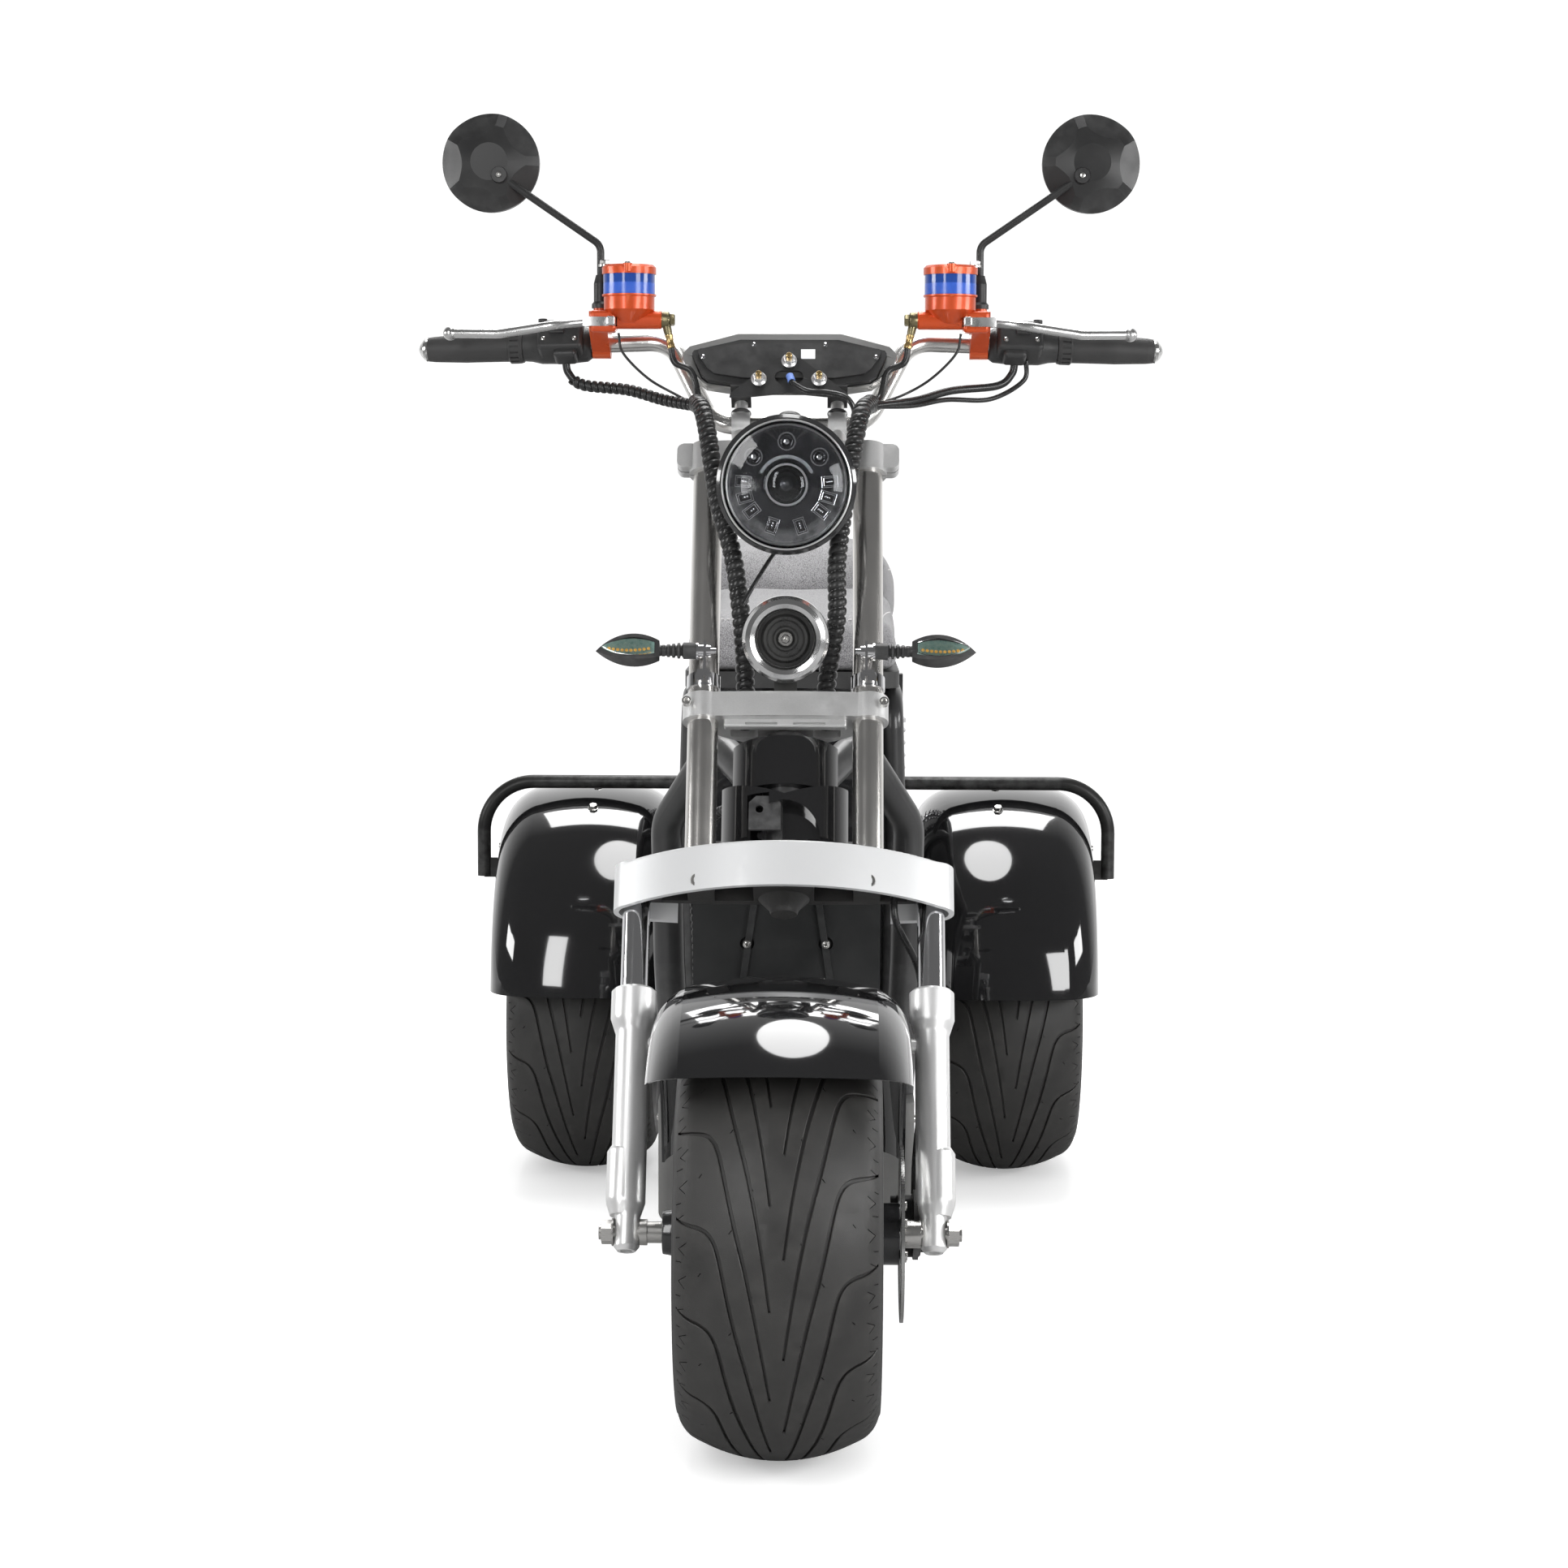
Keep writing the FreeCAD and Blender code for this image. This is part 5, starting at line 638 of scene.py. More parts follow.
def glassy(name, colour, rough=0.02, ior=1.45):
    """Clear plastic or glass: plain transmission, with faint haze and fine marks in its gloss."""
    made, tree, shader = paint(name, colour, rough, 0.0, Transmission_Weight=1.0, IOR=ior)
    haze = effect(tree, grain, {
        "Vector": put(tree, "TexCoord").outputs["Object"], "Colour": (*colour, 1.0),
        "Second": (*[c * 0.97 for c in colour], 1.0), "Smooth": rough, "Rough": rough + 0.03, "Broad": 18.0,
        "Fine": 600.0})
    join(tree, shader.inputs, {"Base Color": haze["Colour"], "Roughness": haze["Roughness"]})
    relief(tree, shader, haze["Height"], 0.02, 0.0003)
    return made


def lathed(name, body, slot, material, rows):
    """One object of several lathed forms: rows of (profile, place, axis, steps)."""
    return fixings(name, body, slot, material, [(turned, *row) for row in rows], 35)


def around_lamp(angle, radius):
    """A place round the lamp's middle, and the ways outward and along the ring there."""
    t = math.radians(angle)
    out = Vector((math.cos(t), 0, math.sin(t)))
    return LAMP + out * radius, out, Vector((-math.sin(t), 0, math.cos(t)))


dress(glassy("clear_lens", (0.97, 0.98, 1.0)), "lamp_lens")
bezel_silver = finish_of("bezel_silver", (0.88, 0.88, 0.88), (0.80, 0.80, 0.80), (0.28, 0.38), 0.9, broad=40.0,
                         fine=1400.0, bump=0.03)
lathed("lamp_bezel", "steering", "lamp_black", bezel_silver, [
    ([(0.0722, 0.0130), (0.0722, 0.0160), (0.0730, 0.0172), (0.0742, 0.0166), (0.0746, 0.0138)], LAMP, FORWARD, 128),
    ([(0.0665, 0.0042), (0.0672, 0.0075), (0.0688, 0.0082), (0.0694, 0.0060), (0.0694, 0.0042)], LAMP, FORWARD, 128),
    ([(0.0218, 0.0118), (0.0222, 0.0126), (0.0240, 0.0126), (0.0248, 0.0112), (0.0252, 0.0050)], LAMP, FORWARD, 96)])
lathed("projector_lens", "steering", "clear_lens", glassy("projector_glass", (0.93, 0.95, 0.97), 0.01, 1.5), [
    ([(0.0216, 0.0090), (0.0216, 0.0104), (0.019, 0.0118), (0.014, 0.0132), (0.007, 0.0140), (0, 0.0142)],
     LAMP, FORWARD, 64)])
points, faces, rows = [], [], []
for k in range(CRESCENT_STEPS + 1):
    thin = 0.35 if k in (0, CRESCENT_STEPS) else 1.0
    middle, out, _ = around_lamp(CRESCENT_FROM + CRESCENT_SWEEP * k / CRESCENT_STEPS, CRESCENT_R)
    rows.append([len(points) + i for i in range(6)])
    points += [middle + out * (r * thin / 1000) + FORWARD * (h / 1000) for r, h in CRESCENT_PROFILE]
for a, b in zip(rows, rows[1:]):
    faces += [[a[i], a[i + 1], b[i + 1], b[i]] for i in range(5)]
crescent_milk = finish_of("crescent_milk", (0.62, 0.64, 0.66), (0.42, 0.43, 0.45), (0.15, 0.3), broad=160.0,
                          fine=2400.0, bump=0.2, Subsurface_Weight=0.1)
fitted("crescent_lamp", "steering", "clear_lens", crescent_milk, points, faces + [rows[0], rows[-1][::-1]], 40)
rows = []
for angle in OBLONG_AT:
    middle, out, along = around_lamp(angle, MODULES_R)
    for r0, r1, half in FRAMES:
        corners = [middle + (out * r + along * h) / 1000
                   for r, h in ((r0, half), (r1, half), (r1, -half), (r0, -half))]
        for a, b in zip(corners, corners[1:] + corners[:1]):
            rows.append((turned, [(0.00035, 0), (0.00035, (b - a).length)], a + FORWARD * 0.0072, b - a, 6))
    rows += [(turned, [(0, 0.0016), (0.0011, 0.0012), (0.0014, 0), (0.0016, -0.001)],
              middle + out * ((k * 3.2 + 0.5) / 1000) + FORWARD * 0.0012, FORWARD, 12) for k in (-1, 0, 1)]
for angle in ROUND_AT:
    middle = around_lamp(angle, MODULES_R)[0]
    rows += [(turned, [(0.0086, 0.0060), (0.0090, 0.0066), (0.0104, 0.0066), (0.0108, 0.0060)], middle, FORWARD, 48),
             (turned, [(0, 0.0004), (0.003, -0.0004), (0.0038, -0.0018)], middle, FORWARD, 24)]
lamp_bright = finish_of("lamp_bright", (0.86, 0.86, 0.87), (0.78, 0.78, 0.79), (0.06, 0.14), 1.0, broad=40.0,
                        fine=1400.0, bump=0.03)
fixings("lamp_modules", "steering", "lamp_black", lamp_bright, rows, 40)

# Horn. A pressed steel disc with a chromed rim and a black ridged dish, held by its centre
# nut to a black strap under the lamp.
low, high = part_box("horn")
HORN = Vector((0.0, low.y + 0.014, high.z - 0.0495))
HORN_RIM = (0.0325, 0.0505)


def zoned(name, base, colour, metal, rough, mask_of):
    """A finish in two zones; mask_of builds the mask from the object's coordinates."""
    made = base.copy()
    made.name = name
    tree = made.node_tree
    inputs = tree.nodes["Principled BSDF"].inputs
    mask = mask_of(tree, put(tree, "TexCoord").outputs["Object"])
    for label, kind, value in (("Base Color", "RGBA", (*colour, 1.0)), ("Metallic", "FLOAT", metal),
                               ("Roughness", "FLOAT", rough)):
        source = inputs[label].links[0].from_socket if inputs[label].links else inputs[label].default_value
        if source != value:
            tree.links.new(blended(tree, kind, mask, source, value), inputs[label])
    return made


def step_mask(tree, value, threshold, width=0.0006):
    """0 below a threshold and 1 above it, with a soft step."""
    return spread(tree, value, threshold - width / 2, threshold + width / 2)


def ring_mask(centre, inner, outer):
    """Mask of the ring round an axis along y."""
    def build(tree, place):
        off = put(tree, "VectorMath", {0: place, 1: centre}, operation="SUBTRACT").outputs[0]
        flat = put(tree, "VectorMath", {0: off, 1: (1, 0, 1)}, operation="MULTIPLY").outputs[0]
        size = put(tree, "VectorMath", {0: flat}, operation="LENGTH").outputs["Value"]
        return put(tree, "Math", {0: step_mask(tree, size, inner), 1: step_mask(tree, size, outer)},
                   operation="SUBTRACT", use_clamp=True).outputs[0]
    return build


horn_black = finish_of("horn_black", (0.03, 0.03, 0.03), (0.05, 0.05, 0.048), (0.25, 0.42), 0.3, broad=40.0,
                       fine=1100.0, bump=0.1)
dress(zoned("horn_rim_chrome", horn_black, (0.72, 0.72, 0.72), 1.0, 0.16, ring_mask(HORN, *HORN_RIM)), "horn")
lathed("horn_nut", "steering", "chrome", bolt_steel, [
    ([(0.0042, 0.004), (0.0052, 0.009), (0.0044, 0.0102), (0.0022, 0.0102), (0.0016, 0.0122), (0, 0.0122)],
     HORN, FORWARD, 6),
    ([(0.0075, 0.0), (0.0082, 0.0032), (0.0075, 0.0040), (0.003, 0.0040)], HORN, FORWARD, 32)])

# Flashers. Leaf-shaped black housings on ribbed rubber stems; behind a clear window lies a
# teal circuit board with a row of amber diodes. Chromed bands hold them to the tubes.
LEAF = [(149.5, 6.6), (160, 9.9), (172, 11.3), (184, 10.6), (196, 7.6), (206, 3.4), (209.5, 0.2),
        (204, -3.4), (194, -7.8), (182, -10.2), (170, -10.6), (159, -9.4), (149.5, -6.6)]
LEAF_MIDDLE, SIGNAL_HEIGHT, DIODES = 180, 664, 10
satin_black = finish_of("moulded_black", (0.018, 0.018, 0.0185), (0.028, 0.028, 0.028), (0.34, 0.5), broad=26.0,
                        fine=1300.0, bump=0.16, worn=((0.08, 0.08, 0.08), 0.4))
chrome = finish_of("chrome", (0.84, 0.84, 0.85), (0.76, 0.76, 0.78), (0.05, 0.13), 1.0, broad=40.0, fine=1500.0,
                   bump=0.03)
brass = finish_of("brass", (0.72, 0.52, 0.24), (0.55, 0.38, 0.17), (0.2, 0.36), 1.0, broad=90.0, fine=1800.0,
                  bump=0.1)
board_teal = finish_of("board_teal", (0.16, 0.30, 0.27), (0.30, 0.42, 0.36), (0.25, 0.4), broad=220.0, fine=2600.0,
                       bump=0.1, Coat_Weight=0.6)
amber = finish_of("diode_amber", (0.95, 0.45, 0.05), (0.9, 0.62, 0.2), (0.12, 0.25), broad=300.0, fine=2600.0,
                  bump=0.05, Emission_Color=(1.0, 0.5, 0.08, 1.0), Emission_Strength=0.15)
dress(satin_black, "turn_signals")
dress(chrome, "signal_clamps")


def prism(points, faces, rings):
    """Adds a closed form between two or more rings of equally many points."""
    start, n = len(points), len(rings[0])
    for ring in rings:
        points += ring
    for a in range(start, len(points) - n, n):
        faces += [[a + k, a + (k + 1) % n, a + n + (k + 1) % n, a + n + k] for k in range(n)]
    faces += [list(range(start, start + n))[::-1], list(range(len(points) - n, len(points)))]


for name, slot, material, depths in (
        ("signal_boards", "black_plastic", board_teal, (-74.0, -74.4)),
        ("signal_windows", "clear_lens", glassy("signal_clear", (0.97, 0.98, 0.98)), (-76.4, -77.6))):
    points, faces = [], []
    for s in (1, -1):
        prism(points, faces, [[on_fork(s * (LEAF_MIDDLE + (x - LEAF_MIDDLE) * grow), depth, SIGNAL_HEIGHT + z * grow)
                               for x, z in LEAF] for depth, grow in zip(depths, (1.0, 0.97))])
    fitted(name, "steering", slot, material, points, faces, 30)
fixings("signal_diodes", "steering", "black_plastic", amber, [
    (turned, [(0.0019, 0), (0.0019, 0.0006), (0.0013, 0.0014), (0, 0.0017)],
     on_fork(s * (156 + 5.0 * k), -74.3, SIGNAL_HEIGHT - 1.8 - 2.2 * math.sin(math.pi * k / (DIODES - 1))),
     -RAKE_AHEAD, 14) for s in (1, -1) for k in range(DIODES)])
for name, material, profile, off, steps in (
        ("signal_nuts", brass, [(0.0088, 0), (0.0088, 0.0052), (0.0074, 0.0066), (0.005, 0.0066)], 0.0028, 6),
        ("signal_washers", chrome, [(0.004, 0), (0.0105, 0), (0.0105, 0.0022), (0.0085, 0.003), (0.0085, 0.0062)],
         -0.0035, 28)):
    lathed(name, "steering", "chrome", material, [
        (profile, on_fork(s * 103, -66, SIGNAL_HEIGHT) + Vector((s * off, 0, 0)), (s, 0, 0), steps) for s in (1, -1)])

# Handlebar, risers and controls. A bent steel bar in clamped risers, ribbed rubber grips with
# polished end caps, moulded switch housings, orange cast brake masters with blue fluid
# windows, and forged levers.
low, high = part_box("reservoirs")
MASTER = Vector((0.193, (low.y + high.y) / 2, low.z - 0.030))
DOWN, UP, BACK = (0, 0, -1), (0, 0, 1), (0, 1, 0)
SIDES = ((1, "left"), (-1, "right"))
rubber_black = finish_of("rubber_black", (0.022, 0.022, 0.022), (0.032, 0.031, 0.031), (0.42, 0.6), broad=30.0,
                         fine=1500.0, bump=0.3)
dress(rubber_black, "grips")
dress(satin_black, "switch_housings", "ignition_barrel")
dress(finish_of("bar_bright", (0.80, 0.79, 0.77), (0.70, 0.69, 0.67), (0.2, 0.3), 1.0, broad=20.0, fine=1500.0,
                bump=0.05, stretch=(0.15, 1, 1)), "handlebar")
dress(finish_of("cap_silver", (0.80, 0.80, 0.79), (0.70, 0.70, 0.69), (0.12, 0.24), 1.0, broad=60.0, fine=1600.0,
                bump=0.04), "bar_ends")
dress(finish_of("lever_forged", (0.78, 0.78, 0.77), (0.66, 0.66, 0.66), (0.2, 0.36), 1.0, broad=30.0, fine=1500.0,
                bump=0.12, worn=((0.9, 0.9, 0.9), 0.4)), "brake_levers")
dress(finish_of("master_orange", (0.56, 0.070, 0.012), (0.47, 0.055, 0.010), (0.26, 0.42), 0.35, broad=30.0,
                fine=1200.0, bump=0.12, worn=((0.85, 0.3, 0.12), 0.6), Coat_Weight=0.3), "brake_masters")
soften(0.0009, "brake_masters", "switch_housings")
soften(0.0007, "brake_levers")
lathed("riser_rings", "steering", "grip_rubber", rubber_black, [
    ([(0.0088, -0.002), (0.0108, -0.0022), (0.0119, -0.0012), (0.0122, 0), (0.0119, 0.0012), (0.0108, 0.0022),
      (0.0088, 0.002)], on_fork(s * 58, 4, 1014), RAKE_UP, 36) for s in (1, -1)])


def band_mask(axis, threshold, width=0.0006):
    """Mask that is 1 beyond a plane across an axis."""
    def build(tree, place):
        return step_mask(tree, put(tree, "VectorMath", {0: place, 1: axis}, operation="DOT_PRODUCT").outputs["Value"],
                         threshold, width)
    return build


fluid_blue = finish_of("window_blue", (0.028, 0.085, 0.40), (0.038, 0.105, 0.47), (0.16, 0.26), broad=60.0,
                       fine=900.0, bump=0.02, Coat_Weight=0.15, Coat_Roughness=0.2, Subsurface_Weight=0.15)
dress(zoned("window_air", fluid_blue, (0.014, 0.05, 0.24), 0.0, 0.05, band_mask((0, 0, 1), high.z - 0.0105, 0.0016)),
      "reservoirs")
surfaces = {}


def touch(name, start, towards):
    """Where a line from a place first meets a solid, and the way its surface faces there."""
    if name not in surfaces:
        mesh = node[name].data
        surfaces[name] = BVHTree.FromPolygons(
            [v.co for v in mesh.vertices], [list(p.vertices) for p in mesh.polygons])
    towards = Vector(towards).normalized()
    place, normal, _, _ = surfaces[name].ray_cast(Vector(start), towards)
    if place is None:
        raise ValueError("no surface of " + name + " there: " + str(tuple(start)))
    return place, normal if normal.dot(towards) < 0 else -normal


def seated(maker, size, name, starts, towards, axis=None):
    """Rows of fixings where lines from some places meet a solid, square to it or along an axis."""
    rows = []
    for start in starts:
        place, normal = touch(name, start, towards)
        rows.append((maker, place, axis or normal, size))
    return rows


def master_hose(s):
    """The inner end of a master, where the brake hose leaves its fitting, and the way it points."""
    inner = Vector((s * 0.1535, MASTER.y, MASTER.z))
    return inner, inner + Vector((-s * 0.004, 0, 0)), Vector((-s * 0.22, -0.10, -0.97)).normalized()


screws, pivots, banjos, crimps = [], [], [], []
for s in (1, -1):
    screws += seated(cross_screw, 0.0072, "brake_masters",
                     [(s * MASTER.x, MASTER.y + y, 1.4) for y in (-0.0285, 0.0285)], DOWN, UP)
    pivots += seated(hex_bolt, 0.013, "brake_masters", [(s * 0.222, MASTER.y, 1.4)], DOWN, UP)
    pivots += seated(socket_bolt, 0.009, "brake_masters", [(s * 0.2300, -0.5, MASTER.z - 0.003)], BACK)
    inner, outlet, down = master_hose(s)
    start = outlet + down * 0.007
    banjos += [([(0, -0.002), (0.0085, -0.002), (0.0098, 0.0), (0.0098, 0.0078), (0.0085, 0.0092)],
                inner, (-s, 0, 0), 32),
               ([(0.0066, 0.0088), (0.0072, 0.0096), (0.0072, 0.0142), (0.0058, 0.0156), (0, 0.0156)],
                inner, (-s, 0, 0), 6),
               ([(0.0052, 0), (0.0050, 0.008), (0.0042, 0.012)], start, down, 20)]
    crimps.append(([(0.0038, 0.011), (0.0050, 0.0115), (0.0050, 0.014), (0.0044, 0.015), (0.0044, 0.022),
                    (0.0050, 0.023), (0.0050, 0.027), (0.0042, 0.028), (0.0038, 0.028)], start, down, 20))
fixings("master_screws", "steering", "chrome", bolt_steel, screws + pivots)
lathed("banjo_fittings", "steering", "chrome", finish_of(
    "banjo_olive", (0.20, 0.175, 0.10), (0.28, 0.24, 0.14), (0.26, 0.42), 0.9, broad=90.0, fine=1800.0, bump=0.15),
    banjos)
lathed("hose_crimps", "steering", "chrome", brass, crimps)
for s, label in SIDES:
    fixings("switch_screws_" + label, "steering", "black_plastic", bolt_steel, seated(
        cross_screw, 0.0065, "switch_housings", [(s * x, -0.6, 1.214) for x in (0.300, 0.262)], BACK))
    buttons = [([(r, -0.002), (r, 0.002), (r * 0.82, 0.0032), (0, 0.0028)],
                *touch("switch_housings", (s * x, 0.3, z), FORWARD), 28)
               for x, z, r in ((0.258, 1.222, 0.006), (0.282, 1.222, 0.0075), (0.306, 1.220, 0.005))]
    red = finish_of("button_red_" + label, (0.55, 0.02, 0.015), (0.42, 0.015, 0.012), (0.2, 0.34), broad=120.0,
                    fine=1500.0, bump=0.06)
    lathed("switch_button_" + label, "steering", "black_plastic", red, buttons[:1])
    lathed("switch_rockers_" + label, "steering", "black_plastic", rubber_black, buttons[1:])

# Mirrors. Round black shells with five flats, a ball socket on a bent stem, a rubber boot at
# the perch, and slightly domed silvered glass towards the rider.
dress(finish_of("mirror_black", (0.012, 0.012, 0.0125), (0.019, 0.019, 0.019), (0.34, 0.46), broad=24.0,
                fine=1200.0, bump=0.06, worn=((0.09, 0.09, 0.09), 0.4)), "mirrors")
low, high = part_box("mirrors")
MIRROR = Vector((0.363, high.y - 0.009, high.z - 0.059))
lathed("mirror_glass", "steering", "black_plastic", finish_of(
    "mirror_silver", (0.86, 0.87, 0.88), (0.84, 0.85, 0.86), (0.01, 0.03), 1.0, broad=8.0, fine=300.0, bump=0.004), [
        ([(0.0556, -0.001), (0.0552, 0.0002), (0.04, 0.0012), (0.02, 0.0018), (0, 0.002)],
         (s * MIRROR.x, MIRROR.y + 0.008, MIRROR.z), BACK, 72) for s in (1, -1)])
fixings("mirror_screws", "steering", "black_plastic", bolt_steel, seated(
    cross_screw, 0.0075, "mirrors", [(s * 0.351, -0.6, MIRROR.z - 0.016) for s in (1, -1)], BACK))

# Instrument and its bracket. A black moulded housing with a brushed silver rim, held by a
# folded black plate, three flanged nuts on brass studs, and four small screws.
RIM_REACH = 11.0
dress(zoned("display_rim_silver", satin_black, (0.62, 0.62, 0.61), 0.9, 0.34,
            band_mask(RAKE_AHEAD, on_fork(0, -14, 1074).dot(RAKE_AHEAD), 0.0004)), "display")
dress(finish_of("bracket_black", (0.022, 0.022, 0.023), (0.032, 0.032, 0.032), (0.36, 0.5), 0.2, broad=30.0,
                fine=1600.0, bump=0.14, worn=((0.16, 0.16, 0.16), 0.5)), "display_bracket")
soften(0.0006, "display_bracket")
nuts = seated(stud_nut, 0.0125, "display_bracket",
              [on_fork(x, -160, z) for x, z in ((0, 1058), (-36, 1033), (36, 1033))], RAKE_AHEAD)
fixings("bracket_nuts", "steering", "chrome", bezel_silver, nuts)
lathed("bracket_studs", "steering", "chrome", brass, [
    ([(0.0036, 0.0060), (0.0036, 0.0140), (0.0026, 0.0152), (0, 0.0152)], place, normal, 20)
    for _, place, normal, _ in nuts])


def worked(mesh, change):
    """Works on a mesh as loose faces and edges, and puts the result back."""
    form = bmesh.new()
    form.from_mesh(mesh)
    change(form)
    form.to_mesh(mesh)
    form.free()


in_fork = [(p.co - on_fork(0, 0, 0)) * 1000 for p in node["display"].data.vertices]
back_of = max(p.dot(RAKE_AHEAD) for p in in_fork)
seen_flat = [(p.x, p.dot(RAKE_UP)) for p in in_fork]
hull = [seen_flat[i] for i in geometry.convex_hull_2d(seen_flat)]
hull_middle = (min(z for _, z in hull) + max(z for _, z in hull)) / 2
points, faces = [], []
for k, (x, z) in enumerate(hull):
    run = (Vector(hull[(k + 1) % len(hull)]) - Vector(hull[k - 1])).normalized()
    out = Vector((run.y, -run.x))
    if out.dot(Vector((x, z - hull_middle))) < 0:
        out = -out
    grow = RIM_REACH * min(1.0, max(0.0, (z - hull_middle + 12) / 18))
    points += [on_fork(x + out.x * reach, back_of - depth, z + out.y * reach) for reach, depth in (
        (-1.5, 15), (grow - 0.8, 15), (grow, 14), (grow, 3.5), (grow - 1.5, 2), (-1.5, 2))]
for k in range(len(hull)):
    n = (k + 1) % len(hull)
    faces += [[k * 6 + i, k * 6 + (i + 1) % 6, n * 6 + (i + 1) % 6, n * 6 + i] for i in range(6)]
rim = fitted("display_rim", "steering", "chrome", finish_of(
    "rim_brushed", (0.66, 0.66, 0.65), (0.50, 0.50, 0.495), (0.26, 0.40), 1.0, broad=30.0, fine=2000.0, bump=0.1,
    stretch=(0.05, 1, 1)), points, faces, 35)
worked(rim.data, lambda form: bmesh.ops.recalc_face_normals(form, faces=form.faces))
fixings("display_screws", "steering", "chrome", chrome, seated(
    cross_screw, 0.0068, "display",
    [on_fork(x, -120, z) for x, z in ((-104, 1070), (-43, 1087), (43, 1087), (104, 1070))], RAKE_AHEAD))
SCREEN_HALF = [(55, 1092), (104, 1079), (106, 1074), (94, 1049), (86, 1044), (50, 1041)]
for name, material, shape, depths in (
        ("bare_label", finish_of("label_paper", (0.78, 0.79, 0.80), (0.70, 0.71, 0.73), (0.45, 0.6), broad=120.0,
                                 fine=1800.0, bump=0.1),
         ((14, 1068), (31, 1068), (31, 1081), (14, 1081)), (-34.1, -34.5)),
        ("display_screen", finish_of("screen_dark", (0.006, 0.007, 0.009), (0.009, 0.010, 0.012), (0.03, 0.07),
                                     broad=10.0, fine=500.0, bump=0.01, Coat_Weight=1.0, Coat_Roughness=0.02),
         SCREEN_HALF + [(-x, z) for x, z in reversed(SCREEN_HALF)], (-12.6, -11.6))):
    points, faces = [], []
    prism(points, faces, [[on_fork(x, depth, z) for x, z in shape] for depth in depths])
    fitted(name, "steering", "black_plastic", material, points, faces)

# Cables. Rubber hoses and switch wires meet in two looms bound with spiral wrap, which run
# down beside the lamp into the middle clamp; a brake hose goes on down behind the left leg.
LOOM_ROUTES = {
    1: [(98, -24, 1014), (84, -76, 962), (67, -78, 850), (58, -68, 776), (58, -50, 714), (47, -14, 648),
        (47, -13, 592)],
    -1: [(-112, -24, 1014), (-98, -76, 962), (-80, -78, 850), (-62, -68, 784), (-52, -50, 716), (-47, -14, 648),
         (-47, -13, 592)]}
FRONT_BRAKE_ROUTE = [on_fork(x, y, z) for x, y, z in (
    (123, -30, 411), (123, -30, 380), (126, -22, 350), (150, 28, 318), (157, 42, 270), (158, 44, 190))] + [
        (0.152, -0.645, 0.352), (0.147, -0.655, 0.300), (0.146, -0.657, 0.262)]
DISPLAY_ROUTE = [on_fork(x, y, z) for x, y, z in (
    (0, -40, 1040), (0, -47, 1034), (4, -50, 1026), (22, -51, 1014), (45, -51, 1012), (66, -52, 1006),
    (76, -54, 992), (78, -62, 972), (72, -70, 950))]
HORN_ROUTE = [(-0.012, -0.400, 0.962), (-0.022, -0.425, 0.948), (-0.036, -0.452, 0.925), (-0.050, -0.466, 0.900)]
WRAP_STEPS = 22
WRAP_PROFILE = ((-0.5, -0.8), (-0.42, 0.3), (-0.18, 1.0), (0.18, 1.0), (0.42, 0.3), (0.5, -0.8))


def smooth_path(route, per=14):
    """A smooth line through the points of a route."""
    route = [Vector(p) for p in route]
    ends = [route[0] * 2 - route[1]] + route + [route[-1] * 2 - route[-2]]
    line = []
    for a, b, c, d in zip(ends, ends[1:], ends[2:], ends[3:]):
        for k in range(per):
            t = k / per
            line.append(0.5 * ((2 * b) + (c - a) * t + (2 * a - 5 * b + 4 * c - d) * t * t
                               + (3 * b - a - 3 * c + d) * t ** 3))
    return line + [route[-1]]


def framed(line):
    """The line's points with two directions square to it that turn as little as possible."""
    side = (line[1] - line[0]).orthogonal().normalized()
    rows = []
    for k, p in enumerate(line):
        along = (line[min(k + 1, len(line) - 1)] - line[max(k - 1, 0)]).normalized()
        side = (side - along * side.dot(along)).normalized()
        rows.append((p, side, along.cross(side)))
    return rows


def tube_on(points, faces, line, radius, steps=12):
    """Adds a round tube with closed ends along a line."""
    turns = [2 * math.pi * k / steps for k in range(steps)]
    prism(points, faces, [[p + (side * math.cos(t) + other * math.sin(t)) * radius for t in turns]
                          for p, side, other in framed(line)])


def wrap_on(points, faces, line, radius, turn, width, lift=0.0012):
    """Adds a spiral wrap: a bulging strip wound round a line."""
    frames, marks = framed(line), measured(line)
    count = int(marks[-1] / turn * WRAP_STEPS)
    rings = []
    for k in range(count + 1):
        s = marks[-1] * k / count
        t = 2 * math.pi * s / turn
        rings.append([])
        for off, share in WRAP_PROFILE:
            j, f = station(marks, min(max(s + off * width, 0.0), marks[-1]))
            p, side, other = (a.lerp(b, f) for a, b in zip(frames[j], frames[j + 1]))
            out = side.normalized() * math.cos(t) + other.normalized() * math.sin(t)
            rings[-1].append(p + out * (radius + lift * share))
    prism(points, faces, rings)


